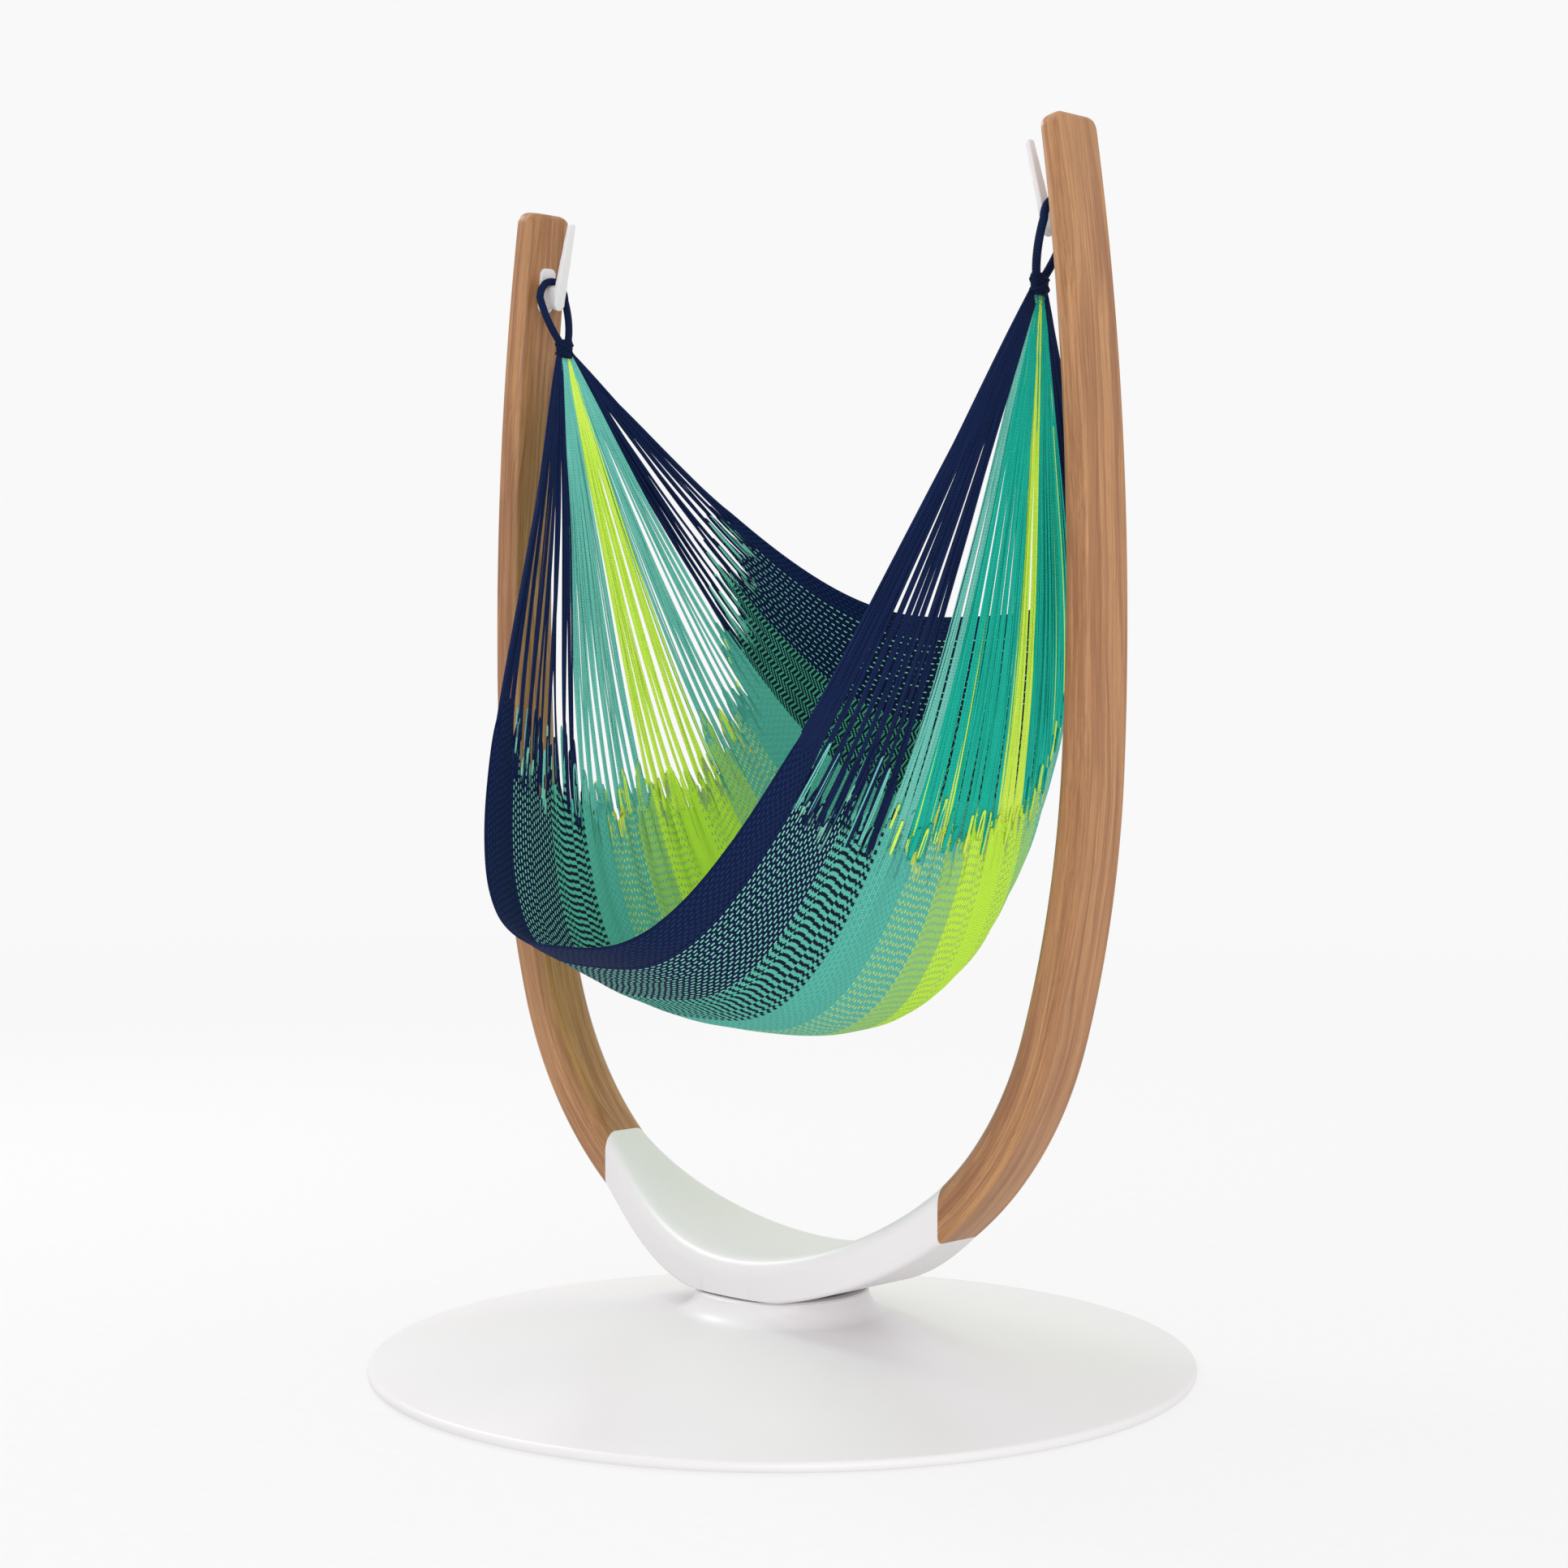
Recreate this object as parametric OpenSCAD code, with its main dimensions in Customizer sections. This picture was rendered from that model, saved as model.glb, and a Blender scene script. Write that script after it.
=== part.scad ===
// Hammock on a swivelling stand. Millimetres, +Z up, origin on the floor at the middle of the base.
// +X runs to the right arm, -Y is the side that a sitter gets in from.

/* [Base] */
// Diameter of the round base
base_d = 1220; // [1100:10:1300]
// Height of the base's rim
rim_h = 18; // [16:1:22]
// Height of the hub's top face
hub_h = 117; // [114:1:120]
// Diameter of the hub's top face
hub_d = 254; // [250:2:262]
// Thickness of the base casting
shell_t = 7; // [6:1:8]
// Diameter of the steel ballast plate
plate_d = 1104; // [900:4:1104]

/* [Bearing] */
// Diameter of the circle that the ball centres lie on
ball_circle_d = 168; // [160:2:176]
// Diameter of each bearing ball
ball_d = 12; // [10:1:12]
// Number of bearing balls
ball_count = 36; // [24:2:40]
// Diameter of the centre spindle
spindle_d = 30; // [26:1:32]

/* [Frame] */
// Overall height to the tips of the arms
frame_h = 1766; // [1700:2:1800]
// Outer radius of the bottom of the U
foot_r = 564; // [560:1:568]
// Outer radius of the bend above it
bend_r = 1560; // [1500:10:1620]
// Outer radius of the upper arms
upper_r = 4150; // [4000:50:4300]
// Width of an arm from front to back
arm_w = 88; // [84:1:92]
// Thickness of an arm at its foot
arm_foot_t = 64; // [60:1:66]
// Thickness of an arm at its tip
arm_tip_t = 33; // [30:1:36]
// Distance from the middle to each joint between saddle and arm
joint_x = 345; // [340:1:350]

/* [Saddle] */
// Width of the saddle in the middle
saddle_w = 240; // [220:2:252]
// Height of the saddle's edges in the middle
saddle_t = 64; // [60:1:66]
// Depth of the hollow along the saddle's top
saddle_dish = 8; // [4:1:10]

/* [Hooks] */
// Height of the swing axis, the middle of each hook's round seat
axis_z = 1638; // [1630:1:1645]
// Width of a hook's seat
seat_w = 20; // [18:1:22]
// Height of a hook's tip above the swing axis
prong_h = 112; // [100:1:115]

/* [Hammock] */
// Diameter of the rope loops
rope_d = 12; // [11:1:14]
// Distance from the middle to each gathering knot
knot_x = 488; // [484:1:492]
// Height of the gathering knots
knot_z = 1545; // [1540:1:1550]
// Thickness of the slack cloth and strings at the front edge
front_cloth_t = 4.2; // [3:0.1:4.5]
// Thickness of the stretched cloth and strings at the back edge
back_cloth_t = 1.9; // [1.8:0.1:2.6]
// Thickness of the rolled front selvage
front_edge_t = 10; // [8:0.5:11]

/* [Hidden] */

$fn = 96;
eps = 0.1;
gap = 0.2;                  // running room around a piece let into another
white = [0.93, 0.93, 0.92];
steel = [0.62, 0.63, 0.65];
bronze = [0.70, 0.52, 0.28];
black = [0.08, 0.08, 0.09];
timber = [0.62, 0.40, 0.25];
navy = [0.03, 0.09, 0.27];
teal = [0.27, 0.65, 0.58];
lime = [0.80, 0.96, 0.20];

// ---- Base ----
base_r = base_d / 2;
hub_r = hub_d / 2;
shell_z = 3;                // the casting's rim stands this far off the floor
flare_r = 36;               // radius of the flare between hub and cone
pad_h = 5;
pad_r = 30;
pad_circle_r = 500;
pad_count = 8;
plate_t = 12;
plate_hole_r = 75;          // opening in the ballast plate around the hub's boss
hub_floor_t = 14;
race_t = 10;                // thickness of each bearing race
race_r = 105;
race_bore_r = 60;
swivel_gap = 3;             // height of the dark line between hub and saddle
race_floor_z = hub_h - race_t;
hub_floor_z = race_floor_z - hub_floor_t;
ball_z = hub_h + swivel_gap / 2;
boss_r = 32;
boss_z = 26;
bush_t = 4;
bush_h = 20;
screw_r = 3;
race_screw_r = 68;          // circle that the race screws stand on
race_screw_count = 6;
screw_boss_r = 11;
boss_low_z = 17;            // the screw bosses stand on the ballast plate
outer_screw_r = 470;
outer_screw_count = 8;
outer_boss_h = 16;
inner_screw_r = 180;
inner_screw_count = 4;
inner_boss_h = 58;

// ---- Frame outline: three tangent arcs, a = angle of the tangent from vertical ----
foot_zc = hub_h - 5 + foot_r;
bend_a = 16.5;
upper_a = 2.5;
foot_c = [0, foot_zc];
bend_c = foot_c + (foot_r - bend_r) * [cos(bend_a), -sin(bend_a)];
upper_c = bend_c + (bend_r - upper_r) * [cos(upper_a), -sin(upper_a)];
tip_a = -asin((frame_h - upper_c[1]) / upper_r);
joint_a = acos(joint_x / foot_r);
deg = 180 / PI;
foot_len = foot_r * (joint_a - bend_a) / deg;
bend_len = bend_r * (bend_a - upper_a) / deg;
arm_len = foot_len + bend_len + upper_r * (upper_a - tip_a) / deg;
inner_edge_r = 22;          // rounding of an arm's edges towards the hammock, at its foot
inner_tip_edge_r = 12;      // and at its tip
outer_edge_r = 9;           // the same on the arm's outer face
outer_tip_edge_r = 5;
tip_corner_r = 20;          // rounding of the tip seen face on
tip_edge_r = 9;             // rounding of the tip seen edge on
ring_step = 40;
corner_steps = 4;
mid_steps = 6;
square_over = 130;          // length in which the upright joint face turns square to the arm

// ---- Joint tongues ----
tongue_l = 170;
tongue_w = 50;
tongue_t = 14;
tongue_k = arm_foot_t / 2;
tongue_a = acos(joint_x / (foot_r - tongue_k));
tongue_z = foot_zc - (foot_r - tongue_k) * sin(tongue_a);
bolt_r = 4;
bolt_head_r = 7;
bolt_head_h = 6;
bolt_seat = 12;             // distance from the tongue's middle to each bolt head's seat
bolt_places = [-62, -30, 30, 62];

// ---- Hooks ----
hook_a = -asin((axis_z - upper_c[1]) / upper_r) - 0.8;
hook_s = arm_len * (axis_z - 230) / (frame_h - 230);
hook_face_x = upper_c[0] + sqrt(pow(upper_r, 2) - pow(axis_z - upper_c[1], 2)) - arm_t(hook_s);
plate_w = 30;
plate_h = 70;
plate_corner_r = 10;
plate_in = 4;               // depth of the hook's plate in the wood
plate_out = 4;
seat_l = 34;
seat_drop = 26;             // from the swing axis to the underside of the seat
rope_stand = 17;            // from the arm's face to the rope's middle
prong_t = 10;
prong_stand = 30;
prong_tilt = 7;             // lean of the prong away from the arm
stud_r = 4;
stud_l = 16;
stud_places = [-18, 22];

// ---- Rope loops ----
rope_r = rope_d / 2;
seat_r = seat_w / 2;
rope_top = seat_r + rope_r + 0.5;
loop_w = 26;                // half the width of the loop at its widest
loop_drop = 28;             // from the loop's top to its widest place
loop_foot_y = 7.2;
loop_foot_z = knot_z + 8;
loop_x = hook_face_x - rope_stand;
loop_pull = 34;

// ---- Hammock cloth: u runs across from front edge to back edge, x along from knot to knot ----
front_pt = [-424, 645];
front_pull = [-100, 482];
back_pull = [369, 256];
back_pt = [418, 1118];
fan_x = [354, 404, 429];    // where each line leaves the straight fan, at u = 0, 0.5 and 1
sag_power = 3.15;
bed_t = 0.67;               // share of the drop at which the strings enter the weave
bed_rise = 0.25;            // less of it towards the back edge
bed_rise_u = 0.7;
gather_r = 26;              // distance from knot to the start of the fans
front_u = 0.05;
back_u = 0.975;
fan_count = 3;              // fans of strings on each side
fan_rows = 6;               // rows of facets across each fan
seam = 0.4;                 // room between weave, strings and selvages
seam_u = 0.0003;            // the same across the cloth
back_edge_t = 4;

function mix(a, b, f) = a + (b - a) * f;
function unit(v) = v / norm(v);

function arc_c(a) = a >= bend_a ? foot_c : a >= upper_a ? bend_c : upper_c;
function arc_r(a) = a >= bend_a ? foot_r : a >= upper_a ? bend_r : upper_r;
function outline(a, k) = arc_c(a) + (arc_r(a) - k) * [cos(a), -sin(a)];
function arm_t(s) = mix(arm_foot_t, arm_tip_t, s / arm_len);
function a_at(s) =
    s < foot_len ? joint_a - s / foot_r * deg :
    s < foot_len + bend_len ? bend_a - (s - foot_len) / bend_r * deg :
    upper_a - (s - foot_len - bend_len) / upper_r * deg;

// Cross-section as [k, y]: k is the depth in from the outer face, y the place across the width
function half_section(hw, t, r_in, r_out, side) = concat(
    [for (i = [0:corner_steps]) let (a = 90 * i / corner_steps)
        [r_out * (1 - cos(a)), side * (hw - r_out * (1 - sin(a)))]],
    [for (i = [0:corner_steps]) let (a = 90 * i / corner_steps)
        [t - r_in * (1 - sin(a)), side * (hw - r_in * (1 - cos(a)))]]
);
function reversed(list) = [for (i = [len(list) - 1:-1:0]) list[i]];
function section(hw, t, r_in, r_out, dish) = let (flat_w = hw - r_in) concat(
    half_section(hw, t, r_in, r_out, -1),
    [for (i = [1:mid_steps - 1]) let (y = mix(-flat_w, flat_w, i / mid_steps))
        [t - dish * (1 - pow(y / flat_w, 2)), y]],
    reversed(half_section(hw, t, r_in, r_out, 1))
);

function halves(quads) = [for (q = quads) each [[q[0], q[1], q[2]], [q[0], q[2], q[3]]]];

// A closed solid through a list of rings with the same number of points
module loft(rings) {
    n = len(rings[0]);
    count = len(rings);
    sides = halves([for (i = [0:count - 2], j = [0:n - 1])
        [i * n + j, i * n + (j + 1) % n, (i + 1) * n + (j + 1) % n, (i + 1) * n + j]]);
    first = [for (j = [n - 1:-1:0]) j];
    last = [for (j = [0:n - 1]) (count - 1) * n + j];
    polyhedron(points = [for (ring = rings, p = ring) p], faces = concat([first], sides, [last]));
}

module mirror_left(left) {
    mirror([left ? 1 : 0, 0, 0]) children();
}

module around(count, r, z = 0, start = 0) {
    for (i = [0:count - 1]) rotate(start + 360 * i / count) translate([r, 0, z]) children();
}

// ---------------------------------------------------------------- base

module base_shell() {
    cone_a = 8.3;
    flare_c = [hub_r + 1 + flare_r, hub_h + 1];
    flare_end = flare_c - flare_r * [sin(cone_a), cos(cone_a)];
    flare = [for (a = [0:9:90 - cone_a]) flare_c - flare_r * [cos(a), sin(a)]];
    rim_r = 8;
    rim = [for (a = [82:-12:-50]) [base_r - rim_r, rim_h - rim_r] + rim_r * [cos(a), sin(a)]];
    inner_z = rim_h - shell_t;
    slope = (flare_end[1] - rim_h) / (base_r - rim_r - flare_end[0]);
    inner_r = base_r - 16;
    throat_r = hub_r - 10;
    profile = concat(
        [[0, race_floor_z], [race_r + 1, race_floor_z], [race_r + 1, hub_h], [hub_r - 1.5, hub_h],
            [hub_r, hub_h - 1.5]],
        [for (p = flare) if (p[1] < hub_h - 2) p],
        [flare_end],
        rim,
        [[base_r - rim_r, shell_z], [inner_r, shell_z], [inner_r, inner_z],
            [flare_end[0], inner_z + slope * (inner_r - flare_end[0])],
            [throat_r, hub_floor_z], [boss_r, hub_floor_z], [boss_r, boss_z], [0, boss_z]]
    );
    color(white) difference() {
        union() {
            rotate_extrude() polygon(profile);
            around(outer_screw_count, outer_screw_r, boss_low_z) cylinder(r = screw_boss_r, h = outer_boss_h);
            around(inner_screw_count, inner_screw_r, boss_low_z, 45) {
                cylinder(r = screw_boss_r, h = inner_boss_h);
            }
        }
        translate([0, 0, boss_z - eps]) cylinder(r = spindle_d / 2 + bush_t, h = hub_h);
        around(race_screw_count, race_screw_r, hub_floor_z - eps) cylinder(r = screw_r, h = hub_floor_t + 1);
        around(outer_screw_count, outer_screw_r, 0) cylinder(r = screw_r, h = 23);
        around(inner_screw_count, inner_screw_r, 0, 45) cylinder(r = screw_r, h = 32);
    }
}

module ballast_plate() {
    color(steel) difference() {
        translate([0, 0, pad_h]) cylinder(d = plate_d, h = plate_t);
        cylinder(r = plate_hole_r, h = 40);
        around(outer_screw_count, outer_screw_r) cylinder(r = screw_r + gap, h = 40);
        around(inner_screw_count, inner_screw_r, 0, 45) cylinder(r = screw_r + gap, h = 40);
        around(outer_screw_count, outer_screw_r, 0) cylinder(r = 6.5, h = pad_h + 4);
        around(inner_screw_count, inner_screw_r, 0, 45) cylinder(r = 6.5, h = pad_h + 4);
    }
}

module floor_pads() {
    color(black) around(pad_count, pad_circle_r, 0, 22.5) {
        cylinder(r1 = pad_r - 2, r2 = pad_r, h = 2);
        translate([0, 0, 2]) cylinder(r = pad_r, h = pad_h - 2);
    }
}

module base_screw(l) {
    translate([0, 0, pad_h]) difference() {
        cylinder(r = 6, h = 4);
        translate([0, 0, -eps]) cylinder(r = 2.5, h = 2.5, $fn = 6);
    }
    translate([0, 0, pad_h + 4]) cylinder(r = screw_r - 0.05, h = l);
}

module base_screws() {
    color(steel) around(outer_screw_count, outer_screw_r) base_screw(13);
    color(steel) around(inner_screw_count, inner_screw_r, 0, 45) base_screw(22);
}

module race(low_z, up) {
    groove_r = ball_d / 2 + 0.1;
    difference() {
        translate([0, 0, low_z]) cylinder(r = race_r, h = race_t);
        translate([0, 0, low_z - eps]) cylinder(r = race_bore_r, h = race_t + 1);
        translate([0, 0, ball_z]) rotate_extrude() translate([ball_circle_d / 2, 0]) circle(r = groove_r);
        around(race_screw_count, race_screw_r, low_z - eps) cylinder(r = screw_r + gap, h = race_t + 1);
        around(race_screw_count, race_screw_r, up ? low_z - eps : low_z + race_t - 5) {
            cylinder(r = 5.7, h = 5 + eps);
        }
    }
}

module bearing_lower_race() {
    color(steel) race(race_floor_z, false);
}

module bearing_upper_race() {
    color(steel) race(hub_h + swivel_gap, true);
}

module bearing_balls() {
    color(steel) around(ball_count, ball_circle_d / 2, ball_z) sphere(d = ball_d, $fn = 32);
}

module race_screw() {
    difference() {
        cylinder(r = 5.5, h = 4.5);
        translate([0, 0, 2.5]) cylinder(r = 2.5, h = 3, $fn = 6);
    }
    translate([0, 0, -16]) cylinder(r = screw_r - 0.05, h = 16.5);
}

module lower_race_screws() {
    color(steel) around(race_screw_count, race_screw_r, hub_h - 5) race_screw();
}

module upper_race_screws() {
    color(steel) around(race_screw_count, race_screw_r, hub_h + swivel_gap + 5) {
        mirror([0, 0, 1]) race_screw();
    }
}

module bush(low_z) {
    color(bronze) translate([0, 0, low_z]) difference() {
        cylinder(r = spindle_d / 2 + bush_t - 0.02, h = bush_h);
        translate([0, 0, -eps]) cylinder(r = spindle_d / 2 + 0.05, h = bush_h + 1);
    }
}

module upper_bush() {
    bush(race_floor_z - bush_h);
}

module lower_bush() {
    bush(boss_z);
}

// ---------------------------------------------------------------- turning frame

spindle_flange_z = hub_h + swivel_gap;
washer_z = boss_z - 3.5;
nut_z = 9;

module spindle() {
    color(steel) difference() {
        union() {
            translate([0, 0, nut_z]) cylinder(d = spindle_d, h = spindle_flange_z - nut_z + 1);
            translate([0, 0, spindle_flange_z]) cylinder(r = race_bore_r - 8, h = race_t);
        }
        around(4, 38, 0, 45) cylinder(r = bolt_r + gap, h = 200);
        around(4, 38, spindle_flange_z - eps, 45) cylinder(r = bolt_head_r + gap, h = 5);
    }
}

module spindle_bolts() {
    color(steel) around(4, 38, spindle_flange_z + 0.4, 45) {
        cylinder(r = bolt_head_r, h = 4.5);
        translate([0, 0, 4]) cylinder(r = bolt_r, h = 28);
    }
}

module retaining_washer() {
    color(steel) translate([0, 0, washer_z]) difference() {
        cylinder(r = 28, h = 3.2);
        translate([0, 0, -eps]) cylinder(d = spindle_d + 0.1, h = 5);
    }
}

module lock_nut() {
    color(steel) translate([0, 0, nut_z + 1]) difference() {
        cylinder(d = 52, h = washer_z - nut_z - 1, $fn = 6);
        translate([0, 0, -eps]) cylinder(d = spindle_d + 0.1, h = 30);
    }
}

function saddle_f(x) = pow(cos(90 * x / joint_x), 1.2);
function saddle_ring(x) = let (f = abs(x) < joint_x - 1 ? saddle_f(x) : 0) [
    for (p = section(
        mix(arm_w / 2, saddle_w / 2, f), mix(arm_foot_t, saddle_t, f),
        mix(inner_edge_r, 26, f), mix(outer_edge_r, 6, f), saddle_dish * f
    )) [x, p[1], max(hub_h + swivel_gap, foot_zc - sqrt(pow(foot_r - p[0], 2) - x * x))]
];

// The tongue's frame: +X along the tongue up the arm, +Z out through the outer face
module at_tongue(left) {
    mirror_left(left) translate([joint_x, 0, tongue_z]) rotate([0, tongue_a - 90, 0]) {
        mirror([0, 0, 1]) children();
    }
}

// Slot for the tongue and pockets for the bolt heads, which plugs sanded flush close from outside
module tongue_space() {
    cube([tongue_l + 2 * gap, tongue_w + 2 * gap, tongue_t + 2 * gap], center = true);
    for (x = bolt_places) translate([x, 0, 0]) {
        cylinder(r = bolt_r + gap, h = bolt_seat + 1);
        translate([0, 0, bolt_seat]) cylinder(r = bolt_head_r + 1, h = bolt_head_h + 1);
    }
}

module saddle() {
    steps = 30;
    color(white) difference() {
        loft([for (i = [0:steps]) saddle_ring(joint_x * (2 * i / steps - 1))]);
        translate([0, 0, hub_h]) cylinder(r = race_r + 1, h = race_t + swivel_gap);
        around(4, 38, hub_h, 45) cylinder(r = bolt_r, h = 36);
        around(race_screw_count, race_screw_r, hub_h) cylinder(r = screw_r, h = 27);
        at_tongue(false) tongue_space();
        at_tongue(true) tongue_space();
    }
}

module tongue(left) {
    color(steel) at_tongue(left) difference() {
        cube([tongue_l, tongue_w, tongue_t], center = true);
        for (x = bolt_places) translate([x, 0, -tongue_t]) cylinder(r = bolt_r, h = 2 * tongue_t);
    }
}

module joint_bolts(left) {
    color(steel) at_tongue(left) for (x = bolt_places) translate([x, 0, 0]) {
        translate([0, 0, -tongue_t / 2]) cylinder(r = bolt_r - 0.05, h = tongue_t / 2 + bolt_seat + 1);
        translate([0, 0, bolt_seat]) difference() {
            cylinder(r = bolt_head_r, h = bolt_head_h);
            translate([0, 0, 3]) cylinder(r = 3, h = 4, $fn = 6);
        }
    }
}

function arm_ring(s) = let (
    d = arm_len - s,
    hw = arm_w / 2 - (d < tip_corner_r ? tip_corner_r - sqrt(d * (2 * tip_corner_r - d)) : 0),
    sink = d < tip_edge_r ? tip_edge_r - sqrt(d * (2 * tip_edge_r - d)) : 0,
    t = arm_t(s) - 2 * sink,
    r_in = min(mix(inner_edge_r, inner_tip_edge_r, s / arm_len), t / 2 - 0.5),
    r_out = min(mix(outer_edge_r, outer_tip_edge_r, s / arm_len), t / 2 - 0.5),
    lean = max(0, 1 - s / square_over)
) [
    for (p = section(hw, t, r_in, r_out, 0)) let (
        k = p[0] + sink,
        a = a_at(s) + lean * (acos(joint_x / (foot_r - k)) - joint_a),
        q = outline(a, k)
    ) [q[0], p[1], q[1]]
];

module arm(left) {
    body = arm_len - tip_corner_r;
    steps = ceil(body / ring_step);
    tip_steps = [16, 12, 9, 6, 4, 2, 1, 0];
    stations = concat([for (i = [0:steps]) body * i / steps], [for (d = tip_steps) arm_len - d]);
    color(timber) difference() {
        mirror_left(left) loft([for (s = stations) arm_ring(s)]);
        at_tongue(left) tongue_space();
        at_hook(left) upright() {
            translate([0, 0, -plate_in - gap]) rounded_plate(gap, 20);
            for (x = stud_places) translate([x, 0, -plate_in - stud_l - 1]) {
                cylinder(r = stud_r, h = stud_l + 2);
            }
        }
    }
}

// The hook's frame: +X out of the arm's face towards the other arm, +Z up along the face
module at_hook(left) {
    mirror_left(!left) translate([-hook_face_x, 0, axis_z]) rotate([0, -hook_a, 0]) children();
}

// Turns +Z to the hook frame's +X and +X to its +Z
module upright() {
    rotate([0, 90, 0]) mirror([1, 0, 0]) children();
}

module rounded_plate(grow, h) {
    w = plate_w / 2 + grow - plate_corner_r;
    low = -plate_h / 2 + 4 - grow + plate_corner_r;
    high = plate_h / 2 + 4 + grow - plate_corner_r;
    linear_extrude(h) union() {
        translate([low - plate_corner_r, -w]) square([high - low + 2 * plate_corner_r, 2 * w]);
        translate([low, -w - plate_corner_r]) square([high - low, 2 * (w + plate_corner_r)]);
        for (x = [low, high], y = [-w, w]) translate([x, y]) circle(r = plate_corner_r);
    }
}

module hook(left) {
    color(white) {
        at_hook(left) upright() translate([0, 0, -plate_in]) rounded_plate(0, plate_in + plate_out);
        mirror_left(!left) translate([-hook_face_x, 0, axis_z]) rotate([0, 90, 0]) {
            cylinder(r = seat_r, h = seat_l);
            translate([0, -seat_r, 0]) cube([seat_drop - seat_r, seat_w, seat_l]);
            translate([seat_drop - seat_r, 0, 0]) cylinder(r = seat_r, h = seat_l);
        }
        at_hook(left) translate([prong_stand, 0, 0]) rotate([0, prong_tilt, 0]) hull() {
            translate([0, 0, seat_r - seat_drop]) rotate([0, 90, 0]) {
                cylinder(r = seat_r, h = prong_t, $fn = 32);
            }
            for (y = [-2.5, 2.5]) translate([0.5, y, prong_h - 3.5]) rotate([0, 90, 0]) {
                cylinder(r = 3.5, h = prong_t - 2, $fn = 32);
            }
        }
    }
}

module hook_studs(left) {
    color(steel) at_hook(left) upright() for (x = stud_places) {
        translate([x, 0, -plate_in - stud_l]) cylinder(r = stud_r - 0.05, h = stud_l);
    }
}

// ---------------------------------------------------------------- hammock

function tangent(path, i) = unit(path[min(i + 1, len(path) - 1)] - path[max(i - 1, 0)]);
function tube_ring(p, t, r, sides) = let (
    side = unit(cross(t, [1, 0, 0])),
    up = cross(side, t)
) [for (j = [0:sides - 1]) p + r * (cos(360 * j / sides) * side + sin(360 * j / sides) * up)];

function bezier(a, b, c, d, f) =
    pow(1 - f, 3) * a + 3 * f * pow(1 - f, 2) * b + 3 * f * f * (1 - f) * c + pow(f, 3) * d;

loop_z = axis_z + rope_top - loop_drop;
loop_side = [for (i = [0:9]) bezier(
    [loop_foot_y, loop_foot_z], [loop_foot_y + 8, loop_foot_z + 14],
    [loop_w, loop_z - loop_pull], [loop_w, loop_z], i / 10
)];
loop_arc = [for (a = [0:12:180]) [loop_w * cos(a), loop_z + loop_drop * sin(a)]];
loop_yz = concat(loop_side, loop_arc, [for (p = reversed(loop_side)) [-p[0], p[1]]]);
function loop_lean(z) = mix(knot_x, loop_x, min(1, (z - loop_foot_z) / (loop_z - loop_foot_z)));

module rope_loop(left) {
    path = [for (p = loop_yz) [loop_lean(p[1]), p[0], p[1]]];
    color(navy) mirror_left(left) {
        loft([for (i = [0:len(path) - 1]) tube_ring(path[i], tangent(path, i), rope_r, 10)]);
    }
}

module whipping(left) {
    color(navy) mirror_left(left) hull() for (y = [-1, 1]) {
        translate([knot_x, 8 * y, knot_z + 8]) sphere(r = 9, $fn = 20);
        translate([knot_x - 1, 5 * y, knot_z - 9]) sphere(r = 9, $fn = 20);
    }
}

function across(u) = bezier(front_pt, front_pull, back_pull, back_pt, u);
function leave_x(u) =
    fan_x[0] * (1 - u) * (1 - 2 * u) + 4 * fan_x[1] * u * (1 - u) + fan_x[2] * u * (2 * u - 1);
function leave_t(u) = let (w = leave_x(u), reach = sag_power * (knot_x - w)) reach / (w + reach);
function drop_at(u, x) = let (w = leave_x(u), t = leave_t(u), d = abs(x))
    d > w ? t * (knot_x - d) / (knot_x - w) : 1 - (1 - t) * pow(d / w, sag_power);
function x_at(u, drop) = let (w = leave_x(u), t = leave_t(u))
    drop < t ? knot_x - (knot_x - w) * drop / t : w * pow((1 - drop) / (1 - t), 1 / sag_power);
function cloth_point(u, x) = let (c = across(u), t = drop_at(u, x)) [x, c[0] * t, mix(knot_z, c[1], t)];
function normal(u, x) = let (
    du = cloth_point(u + 0.005, x) - cloth_point(u - 0.005, x),
    dx = cloth_point(u, x + 2) - cloth_point(u, x - 2)
) unit(cross(du, dx));
function bed_edge(u) = x_at(u, bed_t - bed_rise * pow(max(0, u - bed_rise_u) / (1 - bed_rise_u), 2));
function gather_x(u) = x_at(u, gather_r / norm(across(u) - [0, knot_z]));
function bed_row(u, n) = [for (i = [0:n]) bed_edge(u) * (2 * i / n - 1)];
function fan_row(u, n) = [for (i = [0:n]) let (f = i / n)
    x_at(u, mix(drop_at(u, bed_edge(u) + seam), drop_at(u, gather_x(u)), f))];

// A closed skin over a grid of [u, x] places, front_t thick at u = 0 and back_t at u = 1
module skin(grid, front_t, back_t) {
    rows = len(grid);
    cols = len(grid[0]);
    size = rows * cols;
    half = [for (row = grid, g = row) mix(front_t, back_t, g[0]) / 2 * normal(g[0], g[1])];
    middle = [for (row = grid, g = row) cloth_point(g[0], g[1])];
    quads = [for (i = [0:rows - 2], j = [0:cols - 2])
        [i * cols + j, i * cols + j + 1, (i + 1) * cols + j + 1, (i + 1) * cols + j]];
    rim = concat(
        [for (j = [0:cols - 1]) j],
        [for (i = [1:rows - 1]) i * cols + cols - 1],
        [for (j = [cols - 2:-1:0]) (rows - 1) * cols + j],
        [for (i = [rows - 2:-1:1]) i * cols]
    );
    walls = [for (i = [0:len(rim) - 1]) let (a = rim[i], b = rim[(i + 1) % len(rim)])
        [b, a, a + size, b + size]];
    polyhedron(
        points = concat(middle + half, middle - half),
        faces = concat(
            halves(quads),
            [for (q = halves(quads)) [q[2] + size, q[1] + size, q[0] + size]],
            halves(walls)
        )
    );
}

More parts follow.
